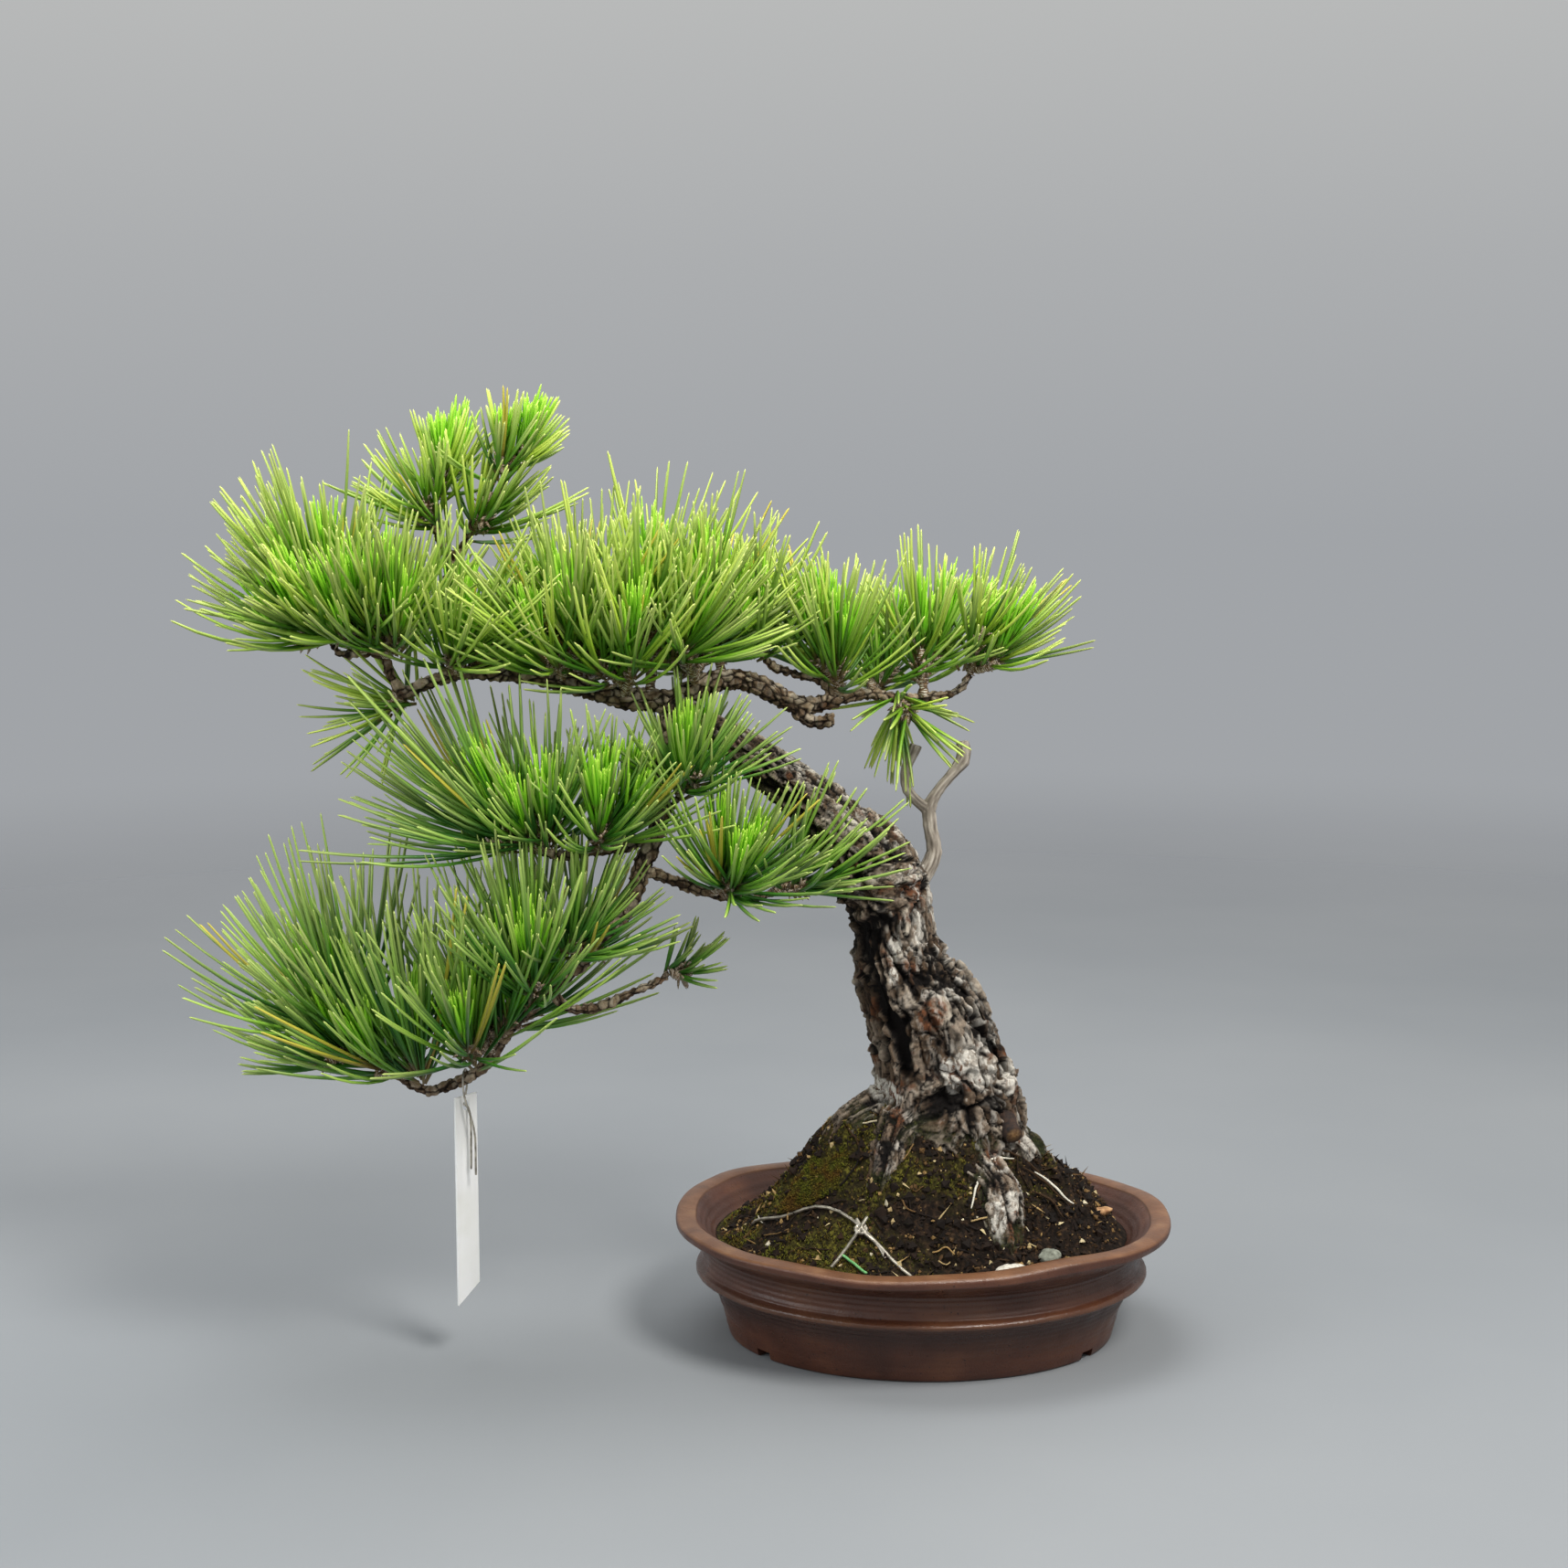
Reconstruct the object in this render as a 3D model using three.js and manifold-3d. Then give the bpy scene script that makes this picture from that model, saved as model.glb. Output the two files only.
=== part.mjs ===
// A bonsai pine that leans to the left out of a handmade oval pot.
// Millimetres, +Z up. X runs along the pot, -Y is the tree's front, and the origin is the middle
// of the pot's flat underside.
import * as THREE from "three";
import { mergeVertices } from "three/addons/utils/BufferGeometryUtils.js";
import Module from "manifold-3d";

const wasm = await Module();
wasm.setup();

// ---- Driving sizes, mm ----
const GAP = 0.3; // between neighbouring pieces

const POT_LENGTH = 200; // over the lip, along X
const POT_DEPTH = 166; // over the lip, along Y
const POT_HEIGHT = 50;
const FOOT_LENGTH = 157;
const FOOT_DEPTH = 117;
const LIP_HEIGHT = 6;
const LIP_WIDTH = 8.5;
const SOIL_EDGE_SHARE = 0.36; // how far the wall has drawn in from rim to foot at the soil's edge
const WALL = 8;
const FLOOR = 8;
const BEAD_BELOW_RIM = 22.5; // the raised band round the pot
const NECK_BELOW_RIM = 12; // the hollow between the lip and the bead
const HOLE_RADIUS = 8;
const HOLE_SPACING = 64;
const GROOVE_WIDTH = 7;
const GROOVE_DEPTH = 3.5;
const GROOVE_TURN = 0.75; // radians between the groove and straight out to the front
const POT_SEGMENTS = 48;

const MESH_SIDE = 27;
const MESH_THICKNESS = 1.2;
const MESH_OPENING = 5;
const MESH_PITCH = 7.5;

const SOIL_BELOW_RIM = 9;
const MOUND_RISE = 55; // from the soil's edge to its crown
const MOUND_CROWN = 0.2; // share of the mound's reach that is nearly flat on top
const MOUND_LUMP = 1.3; // height of its low waves
const MOSS_THICKNESS = 3;
const TREE_SINK = 6; // from the mound's crown down to where the tree's own heights start
const SOIL_RINGS = 6;

const NEEDLES = 7; // in each tuft
const NEEDLE_RADIUS = 0.9;
const NEEDLE_SWELL = 9; // from the bud's middle to a needle's widest place
const NEEDLE_CLEARANCE = 0.6;
const NEEDLE_SPREAD = 1.15; // radians between the shoot and a tuft's outermost needles
const GOLDEN_ANGLE = 2.39996; // radians from each needle round to the next
const SHORTEST_NEEDLE = 9;
const BUD_RADIUS = 2.6;
const SHOOT_RADIUS = 1.5;
const SHOOT_STAND_OFF = 4.5; // least distance from the branch's bark to the bud

const LABEL_LENGTH = 84;
const LABEL_WIDTH = 12;
const LABEL_THICKNESS = 0.8;
const LABEL_HOLE_RADIUS = 2;
const LABEL_HOLE_INSET = 4; // from the label's top edge to its hole's middle
const LABEL_DROP = 4; // from the underside of the branch to the label's top edge
const LABEL_SLANT = 0.55; // rise of the cut lower end, as a share of the width
const LABEL_TURN = 0.95; // radians that the label has turned away from the front
const LABEL_WIRE_RADIUS = 0.5;
const ANCHOR_WIRE_RADIUS = 0.8;
const ANCHOR_KNOT_RADIUS = 2.2;

const TREE_Z = POT_HEIGHT - SOIL_BELOW_RIM + MOUND_RISE - TREE_SINK;

// ---- Solids ----

// A manifold-3d solid of a closed three.js geometry, its faces pointing out.
function solidOf(geometry) {
  const bare = geometry.clone();
  bare.deleteAttribute("normal");
  bare.deleteAttribute("uv");
  const merged = mergeVertices(bare, 1e-3);
  const corners = merged.index.array;
  const outward = [];
  const inward = [];
  for (let i = 0; i < corners.length; i += 3) {
    const [a, b, c] = [corners[i], corners[i + 1], corners[i + 2]];
    if (a === b || b === c || c === a) continue;
    outward.push(a, b, c);
    inward.push(a, c, b);
  }
  const build = (triangles) =>
    new wasm.Manifold(
      new wasm.Mesh({
        numProp: 3,
        vertProperties: merged.attributes.position.array,
        triVerts: Uint32Array.from(triangles),
      }),
    );
  const made = build(outward);
  return made.volume() > 0 ? made : build(inward);
}

function geometryOf(solid) {
  const mesh = solid.getMesh();
  const geometry = new THREE.BufferGeometry();
  geometry.setAttribute("position", new THREE.BufferAttribute(mesh.vertProperties, 3));
  geometry.setIndex(new THREE.BufferAttribute(mesh.triVerts, 1));
  geometry.computeVertexNormals();
  return geometry;
}

// What stands clear of the limbs that a piece grows from, without the crumbs behind them.
function largestBody(solid) {
  const bodies = solid.decompose();
  bodies.sort((a, b) => b.volume() - a.volume());
  return bodies[0];
}

// Linear interpolation in a list, where 0 is its first entry and 1 its last.
function sample(list, share) {
  const place = THREE.MathUtils.clamp(share, 0, 1) * (list.length - 1);
  const low = Math.floor(place);
  return THREE.MathUtils.lerp(list[low], list[Math.min(low + 1, list.length - 1)], place - low);
}

// An oval turned solid. Each row is [half length, half depth, height], from the lower middle point
// round the outside to the upper middle point.
function ovalSolid(rows, segments) {
  const profile = rows.map(([halfLength, , height]) => new THREE.Vector2(halfLength, height));
  const geometry = new THREE.LatheGeometry(profile, segments);
  const position = geometry.attributes.position;
  for (let i = 0; i < position.count; i += 1) {
    const [halfLength, halfDepth] = rows[i % rows.length];
    const squeeze = halfLength > 0 ? halfDepth / halfLength : 1;
    const [across, height, along] = [position.getX(i), position.getY(i), position.getZ(i)];
    position.setXYZ(i, along, across * squeeze, height);
  }
  return solidOf(geometry);
}

// ---- Limbs: trunk, roots, branches and shoots ----

// A limb is { points, radii, sides, steps, gnarl } in mm. Its points are Vector3.
function curveOf(limb) {
  return new THREE.CatmullRomCurve3(limb.points, false, "centripetal");
}

// The limb's round rod bent along its curve, grown all over by a clearance.
function limbSolid(limb, grow = 0) {
  const { radii, sides, steps, gnarl = 0 } = limb;
  const curve = curveOf(limb);
  const frames = curve.computeFrenetFrames(steps, false);
  const rod = new THREE.CylinderGeometry(1, 1, 1, sides, steps);
  const position = rod.attributes.position;
  for (let i = 0; i < position.count; i += 1) {
    const share = position.getY(i) + 0.5;
    const step = Math.round(share * steps);
    const along = curve.getUtoTmapping(share);
    const centre = curve.getPoint(along);
    if (step === 0) centre.addScaledVector(frames.tangents[step], -grow);
    if (step === steps) centre.addScaledVector(frames.tangents[step], grow);
    const angle = Math.atan2(position.getX(i), position.getZ(i));
    const ridge = 1 + gnarl * (Math.sin(3 * angle + 5 * along) + 0.6 * Math.sin(7 * angle - 9 * along));
    const radius = sample(radii, along) * ridge + grow;
    centre.addScaledVector(frames.normals[step], position.getX(i) * radius);
    centre.addScaledVector(frames.binormals[step], position.getZ(i) * radius);
    position.setXYZ(i, centre.x, centre.y, centre.z);
  }
  return solidOf(rod);
}

// A limb in the tree's own measures: x and y from the pot's middle, z from just under the crown.
function treeLimb(points, radii, steps, sides = 7, gnarl = 0) {
  const placed = points.map(([x, y, z]) => new THREE.Vector3(x, y, TREE_Z + z));
  return { points: placed, radii, sides, steps, gnarl };
}

// ---- Pot ----

// A point on the pot's outline: share 0 is the rim and share 1 is the foot.
function potRow(height, share, inset = 0) {
  const halfLength = THREE.MathUtils.lerp(POT_LENGTH, FOOT_LENGTH, share) / 2 - inset;
  const halfDepth = THREE.MathUtils.lerp(POT_DEPTH, FOOT_DEPTH, share) / 2 - inset;
  return [halfLength, halfDepth, height];
}

// The pot's inner wall, from the floor up to the lip.
function potInside() {
  const bead = POT_HEIGHT - BEAD_BELOW_RIM;
  const neck = POT_HEIGHT - NECK_BELOW_RIM;
  return [
    potRow(FLOOR, 0.94, WALL + 1.5),
    potRow((FLOOR + bead) / 2, 0.72, WALL),
    potRow(bead, 0.52, WALL),
    potRow(neck, 0.46, WALL),
    potRow(POT_HEIGHT - SOIL_BELOW_RIM, SOIL_EDGE_SHARE, WALL),
    potRow(POT_HEIGHT - LIP_HEIGHT / 2, 0.1, WALL),
  ];
}

function drainCutter(side) {
  const hole = new THREE.CylinderGeometry(HOLE_RADIUS, HOLE_RADIUS, 4 * FLOOR, 20);
  hole.rotateX(Math.PI / 2);
  const grooveLength = FOOT_DEPTH;
  const groove = new THREE.BoxGeometry(GROOVE_WIDTH, grooveLength, 2 * GROOVE_DEPTH);
  groove.translate(0, -grooveLength / 2, 0);
  groove.rotateZ(side * GROOVE_TURN);
  const cutter = solidOf(hole).add(solidOf(groove));
  return cutter.translate([(side * HOLE_SPACING) / 2, 0, 0]);
}

function pot() {
  const lipFoot = POT_HEIGHT - LIP_HEIGHT;
  const bead = POT_HEIGHT - BEAD_BELOW_RIM;
  const neck = POT_HEIGHT - NECK_BELOW_RIM;
  const outside = [
    potRow(0, 1, 1.2),
    potRow(1.2, 0.99),
    potRow(bead * 0.35, 0.9),
    potRow(bead * 0.68, 0.74),
    potRow(bead - 2.4, 0.56),
    potRow(bead - 1.1, 0.38),
    potRow(bead + 1.1, 0.38),
    potRow(bead + 2.7, 0.5),
    potRow(neck, 0.47),
    potRow((neck + lipFoot) / 2 + 1, 0.3),
    potRow(lipFoot + LIP_HEIGHT * 0.2, 0.06),
    potRow(lipFoot + LIP_HEIGHT * 0.35, 0),
    potRow(lipFoot + LIP_HEIGHT * 0.75, 0),
    potRow(POT_HEIGHT, 0, 1.8),
    potRow(POT_HEIGHT, 0, LIP_WIDTH - 2),
    potRow(POT_HEIGHT - 0.8, 0, LIP_WIDTH - 0.4),
  ];
  const inside = potInside().reverse();
  const body = ovalSolid([[0, 0, 0], ...outside, ...inside, [0, 0, FLOOR]], POT_SEGMENTS);
  return body.subtract(drainCutter(-1)).subtract(drainCutter(1));
}

// The perforated plate over one drainage hole.
function drainageMesh(side) {
  let plate = solidOf(new THREE.BoxGeometry(MESH_SIDE, MESH_SIDE, MESH_THICKNESS));
  for (const column of [-1, 0, 1]) {
    for (const row of [-1, 0, 1]) {
      const opening = new THREE.BoxGeometry(MESH_OPENING, MESH_OPENING, 2 * MESH_THICKNESS);
      opening.translate(column * MESH_PITCH, row * MESH_PITCH, 0);
      plate = plate.subtract(solidOf(opening));
    }
  }
  return plate.translate([(side * HOLE_SPACING) / 2, 0, FLOOR + GAP + MESH_THICKNESS / 2]);
}

// The room that a drainage mesh takes in the soil.
function meshRoom(side) {
  const width = MESH_SIDE + 2 * GAP;
  const geometry = new THREE.BoxGeometry(width, width, 2 * (MESH_THICKNESS + 2 * GAP));
  geometry.translate((side * HOLE_SPACING) / 2, 0, FLOOR);
  return solidOf(geometry);
}

// ---- Soil, and what lies on it ----

const SOIL_EDGE = potRow(POT_HEIGHT - SOIL_BELOW_RIM, SOIL_EDGE_SHARE, WALL + GAP);

// The mound's height where u and v are shares of the soil's half length and half depth: a bell
// shape that is fuller on the right.
function moundHeight(u, v) {
  const out = Math.min(Math.hypot(u, v), 1);
  const slope = THREE.MathUtils.clamp((out - MOUND_CROWN) / (1 - MOUND_CROWN), 0, 1);
  const bell = 0.5 + 0.5 * Math.cos(Math.PI * slope);
  const fuller = 0.7 * THREE.MathUtils.smoothstep(u, 0.1, 0.8);
  const rise = MOUND_RISE * THREE.MathUtils.lerp(bell, 1 - out ** 2.2, fuller);
  const lumps = MOUND_LUMP * Math.sin(5 * u + 1) * Math.cos(6 * v) * out * (1 - out ** 4);
  return POT_HEIGHT - SOIL_BELOW_RIM + rise + lumps;
}

function onMound(u, v, lift) {
  return new THREE.Vector3(u * SOIL_EDGE[0], v * SOIL_EDGE[1], moundHeight(u, v) + lift);
}

// A limb whose points are [u, v, lift] on the mound.
function moundLimb(points, radii, steps, sides = 8, gnarl = 0) {
  return { points: points.map((point) => onMound(...point)), radii, sides, steps, gnarl };
}

// The plain filling of the pot, with its mound raised by a clearance.
function soilFilling(raise = 0) {
  const rows = [[0, 0, FLOOR + GAP]];
  for (const [halfLength, halfDepth, height] of potInside().slice(0, -1)) {
    rows.push([halfLength - GAP, halfDepth - GAP, Math.max(height, FLOOR + GAP)]);
  }
  for (let ring = SOIL_RINGS - 1; ring > 0; ring -= 1) {
    const share = ring / SOIL_RINGS;
    rows.push([share * SOIL_EDGE[0], share * SOIL_EDGE[1], 0]);
  }
  rows.push([0, 0, 0]);
  const profile = rows.map(([halfLength, , height]) => new THREE.Vector2(halfLength, height));
  const geometry = new THREE.LatheGeometry(profile, POT_SEGMENTS);
  const edgeRow = potInside().length - 1;
  const position = geometry.attributes.position;
  for (let i = 0; i < position.count; i += 1) {
    const row = i % rows.length;
    const [halfLength, halfDepth] = rows[row];
    const squeeze = halfLength > 0 ? halfDepth / halfLength : 1;
    const [x, y] = [position.getZ(i), position.getX(i) * squeeze];
    const top = moundHeight(x / SOIL_EDGE[0], y / SOIL_EDGE[1]) + raise;
    position.setXYZ(i, x, y, row >= edgeRow ? top : position.getY(i));
  }
  return solidOf(geometry);
}

// A cushion of moss: middle and half widths as shares of the soil's, thickness in mm.
function mossCushion([u, v], [halfU, halfV], thickness, turn) {
  const rows = [
    [0, -4],
    [1, -4],
    [1, 0.35 * thickness],
    [0.72, 0.85 * thickness],
    [0.36, thickness],
    [0, thickness],
  ];
  const profile = rows.map(([share, height]) => new THREE.Vector2(share, height));
  const geometry = new THREE.LatheGeometry(profile, 22);
  const position = geometry.attributes.position;
  for (let i = 0; i < position.count; i += 1) {
    const [a, lift, b] = [position.getX(i), position.getY(i), position.getZ(i)];
    const ragged = 1 + 0.13 * Math.sin(4 * Math.atan2(b, a) + turn) + 0.08 * Math.sin(9 * Math.atan2(b, a));
    const point = onMound(u + a * halfU * ragged, v + b * halfV * ragged, lift);
    position.setXYZ(i, point.x, point.y, point.z);
  }
  return largestBody(solidOf(geometry).subtract(soilFilling(GAP)));
}

// A weathered stone or chip half sunk in the mound: half sizes in mm, roughened by a wave.
function stone([u, v], lift, [halfX, halfY, halfZ], roughness, turn, grow = 0) {
  const geometry = new THREE.IcosahedronGeometry(1, 2);
  const position = geometry.attributes.position;
  for (let i = 0; i < position.count; i += 1) {
    const [x, y, z] = [position.getX(i), position.getY(i), position.getZ(i)];
    const wave = Math.sin(3.1 * x + turn) * Math.cos(2.7 * y - turn) + Math.sin(4.3 * z);
    const [sizeX, sizeY, sizeZ] = [halfX, halfY, halfZ].map((half) => half * (1 + roughness * wave) + grow);
    position.setXYZ(i, x * sizeX, y * sizeY, z * sizeZ);
  }
  geometry.rotateZ(turn);
  const middle = onMound(u, v, lift);
  geometry.translate(middle.x, middle.y, middle.z);
  return solidOf(geometry);
}

const whiteStone = (grow) => stone([0.37, -0.87], 0.5, [6.5, 4, 3.5], 0.12, 0.3, grow);
const greyStone = (grow) => stone([0.56, -0.74], 0.5, [6, 4.5, 3.8], 0.1, 1.1, grow);
const woodChip = (grow) => stone([0.86, -0.16], 1, [5.5, 3, 1.8], 0.1, 0.5, grow);

// The tie-down wire: a loop over the mound, twisted into a knot with two tails.
const ANCHOR_LOOP = moundLimb(
  [
    [-0.86, -0.1, -6],
    [-0.82, -0.13, 0.2],
    [-0.67, -0.34, 0.9],
    [-0.51, -0.46, 1],
    [-0.4, -0.56, 0.9],
    [-0.31, -0.66, 1.6],
  ],
  [ANCHOR_WIRE_RADIUS],
  12,
  5,
);
const ANCHOR_TAILS = [
  [[-0.33, -0.62, 1.4], [-0.29, -0.7, 2.4], [-0.24, -0.74, 1.2], [-0.2, -0.8, 0.2]],
  [[-0.28, -0.63, 1.2], [-0.33, -0.69, 2.8], [-0.4, -0.74, 1.4], [-0.45, -0.78, 0.3]],
  [[-0.31, -0.66, 1.6], [-0.22, -0.76, 1.2], [-0.15, -0.84, 0.4], [-0.08, -0.92, 0.2]],
].map((points) => moundLimb(points, [ANCHOR_WIRE_RADIUS], 5, 5));

function anchorWire(grow = 0) {
  const knot = new THREE.TorusGeometry(ANCHOR_KNOT_RADIUS, ANCHOR_WIRE_RADIUS + grow, 5, 9);
  knot.rotateX(0.6);
  const middle = onMound(-0.31, -0.67, 1.8);
  knot.translate(middle.x, middle.y, middle.z);
  let wire = solidOf(knot).add(limbSolid(ANCHOR_LOOP, grow));
  for (const tail of ANCHOR_TAILS) wire = wire.add(limbSolid(tail, grow));
  return wire;
}

// ---- Trunk and branches ----

const TRUNK = treeLimb(
  [
    [12, 0, -16],
    [11, 0, 6],
    [6, -1, 26],
    [0, -2, 42],
    [-8, -3, 57],
    [-13, -3, 75],
    [-16, -4, 92],
    [-21, -4, 105],
    [-32, -6, 117],
    [-46, -8, 130],
    [-61, -10, 142],
    [-76, -10, 153],
    [-90, -10, 161],
    [-101, -9, 169],
  ],
  [32, 30, 27, 25, 20.5, 17, 18, 17, 13.5, 11.2, 9.3, 7.6, 6.6, 6.4],
  32,
  14,
  0.045,
);

// Roots that spread from the trunk's foot over the mound and into it.
const FOOT = new THREE.Vector3(10, 0, TREE_Z - 4);
function root(points, radii) {
  const limb = moundLimb(points, radii, 7, 8, 0.05);
  limb.points.unshift(FOOT.clone());
  return limb;
}
const ROOTS = [
  root([[-0.26, -0.1, -3], [-0.4, -0.14, -6], [-0.5, -0.2, -14]], [16, 11, 9, 5]),
  root([[-0.13, -0.3, -3], [-0.2, -0.42, -6], [-0.26, -0.54, -14]], [16, 11, 8, 4]),
  root([[0.22, -0.3, -14], [0.32, -0.47, -7], [0.35, -0.62, -4], [0.37, -0.72, -12]], [14, 11, 12, 10, 6]),
  root([[0.42, -0.2, -3], [0.5, -0.24, -3]], [15, 8.5, 7]),
  root([[0.48, -0.04, -3], [0.58, -0.06, -5], [0.68, -0.08, -13]], [15, 8, 6, 3]),
  root([[0.34, 0.36, -5], [0.46, 0.5, -7], [0.56, 0.6, -15]], [16, 9, 7, 4]),
  root([[-0.1, 0.42, -5], [-0.2, 0.58, -7], [-0.26, 0.7, -15]], [16, 10, 8, 4]),
];

// The wound where a branch was cut off, on the trunk's left shoulder.
const KNOB = treeLimb([[-16, -6, 96], [-28, -15, 95], [-34, -19, 95]], [9, 6.5, 5.5], 4, 9);

const DEAD_BRANCH = treeLimb(
  [
    [-9, 2, 90],
    [0, 9, 96],
    [5, 11, 106],
    [3.5, 12, 116],
    [3, 13, 124],
    [6.5, 14, 131],
    [12.5, 15, 138],
    [17, 16, 144],
    [16.5, 16, 151],
  ],
  [4.5, 3.8, 3.3, 3, 3, 2.3, 2.3, 3.4, 2.6],
  18,
  8,
);
const DEAD_FORK = treeLimb(
  [
    [3, 13, 123],
    [-3, 12.5, 128],
    [-6.5, 12, 133],
    [-6.5, 12, 140],
    [-2.5, 12, 150],
  ],
  [2.6, 2.3, 2.2, 2.2, 2.5],
  10,
  8,
);

const UPPER_LEFT = treeLimb(
  [
    [-100, -9, 169],
    [-120, -13, 171],
    [-134, -16, 175],
    [-148, -19, 179],
    [-162, -22, 181],
    [-180, -24, 181.5],
    [-194, -25, 177.5],
    [-204, -25, 173],
  ],
  [5.4, 4.6, 4.2, 3.9, 3.6, 3.2, 3, 2.8],
  22,
);
const UPPER_LEFT_TWIG = treeLimb(
  [
    [-203, -25, 173],
    [-208, -25, 180],
    [-210, -26, 188],
    [-219, -27, 190],
    [-227, -28, 189],
    [-230, -28, 195],
  ],
  [2.6, 2.4, 2.2, 2.1, 2, 1.7],
  14,
);

const APEX = treeLimb(
  [
    [-170, -22.5, 182],
    [-178, -20, 192],
    [-185, -18, 201],
    [-186, -17, 213],
    [-186, -16, 226],
    [-190, -15, 233],
    [-192, -14, 243],
    [-190, -13, 252],
  ],
  [3.2, 3, 2.8, 2.6, 2.3, 2, 1.8, 1.6],
  18,
);
const APEX_TWIG = treeLimb(
  [
    [-186, -16, 225],
    [-180, -16, 231],
    [-174, -18, 245],
    [-166, -20, 251],
    [-164, -20, 258],
  ],
  [1.9, 1.8, 1.7, 1.6, 1.5],
  10,
);

const UPPER_RIGHT = treeLimb(
  [
    [-100, -9, 169],
    [-88, -6, 175.5],
    [-77, -3, 178],
    [-66, 0, 175],
    [-57, 3, 169.5],
    [-48, 6, 166.5],
    [-33, 10, 169],
    [-22, 13, 171],
    [-9, 15, 168.5],
    [6, 18, 169],
    [14.5, 20, 171],
    [20, 21, 178],
  ],
  [5.2, 4.9, 4.6, 4.6, 4.4, 4, 3.2, 2.7, 2.5, 2.2, 2, 1.7],
  24,
);
const CUT_PRONG = treeLimb([[-53, 5, 167], [-45, 4, 160], [-36, 3, 161]], [3.4, 3.2, 3], 6);
const RETURN_TWIG = treeLimb(
  [
    [-34, 10, 169],
    [-42, 8, 176],
    [-52, 5, 179.5],
    [-60, 3, 182],
    [-65, 1, 187],
  ],
  [2.2, 2.1, 1.9, 1.8, 1.6],
  10,
);

const LOWER = treeLimb(
  [
    [-99, -9, 169],
    [-104, -14, 147],
    [-105, -18, 122],
    [-112, -22, 104],
    [-115, -24, 93],
    [-121, -26, 83],
    [-136, -30, 68],
    [-155, -32, 52],
    [-163, -32, 43],
    [-174, -30, 27],
    [-184, -29, 21],
    [-198, -28, 17],
    [-211, -28, 27],
    [-222, -28, 30.5],
  ],
  [5.2, 4.4, 4.2, 4, 3.8, 3.5, 3.2, 2.9, 2.7, 2.6, 2.5, 2.5, 2.2, 1.9],
  30,
);
const LOWER_TWIG = treeLimb(
  [
    [-147, -31, 59],
    [-141, -30, 51],
    [-132, -28, 50],
    [-124, -26, 52],
    [-115, -24, 56],
    [-107, -22, 59],
    [-101, -20, 63],
  ],
  [2.4, 2.3, 2.2, 2.1, 2, 1.9, 1.6],
  16,
);
const MIDDLE_LEFT = treeLimb(
  [
    [-105, -18, 120],
    [-115, -22, 114],
    [-129, -26, 112.5],
    [-142, -30, 111],
    [-155, -32, 114],
  ],
  [2.9, 2.6, 2.4, 2.2, 1.9],
  12,
);
const MIDDLE_RIGHT = treeLimb(
  [
    [-112.5, -22, 105],
    [-98, -20, 99],
    [-80, -17, 93],
    [-69, -15, 91],
    [-60, -13, 94],
  ],
  [2.8, 2.5, 2.3, 2.2, 1.9],
  12,
);
const INNER_TWIG = treeLimb([[-105, -18, 124], [-100, -20, 129], [-97, -23, 134]], [2.2, 2, 1.7], 6);

const joined = (...limbs) => (grow) =>
  limbs.map((limb) => limbSolid(limb, grow)).reduce((whole, piece) => whole.add(piece));
const WOOD = {
  trunk: joined(TRUNK, KNOB, ...ROOTS),
  dead_branch: joined(DEAD_BRANCH, DEAD_FORK),
  upper_left_branch: joined(UPPER_LEFT, UPPER_LEFT_TWIG),
  apex_branch: joined(APEX, APEX_TWIG),
  upper_right_branch: joined(UPPER_RIGHT, CUT_PRONG, RETURN_TWIG),
  lower_branch: joined(LOWER, LOWER_TWIG, INNER_TWIG),
  middle_left_branch: joined(MIDDLE_LEFT),
  middle_right_branch: joined(MIDDLE_RIGHT),
};
// The limb that each one grows from or past, which is cut out of it with a gap.
const CUT_BY = {
  trunk: [],
  dead_branch: ["trunk"],
  upper_left_branch: ["trunk"],
  apex_branch: ["upper_left_branch"],
  upper_right_branch: ["trunk", "upper_left_branch"],
  lower_branch: ["trunk", "upper_left_branch", "upper_right_branch"],
  middle_left_branch: ["lower_branch"],
  middle_right_branch: ["lower_branch"],
};

// Each limb grown by the gap: the room it takes in the pieces that it touches.
const ROOM = Object.fromEntries(Object.entries(WOOD).map(([name, make]) => [name, make(GAP)]));

function woodPiece(name) {
  let piece = WOOD[name](0);
  for (const parent of CUT_BY[name]) piece = piece.subtract(ROOM[parent]);
  return largestBody(piece);
}

// ---- Needle tufts ----

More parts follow.
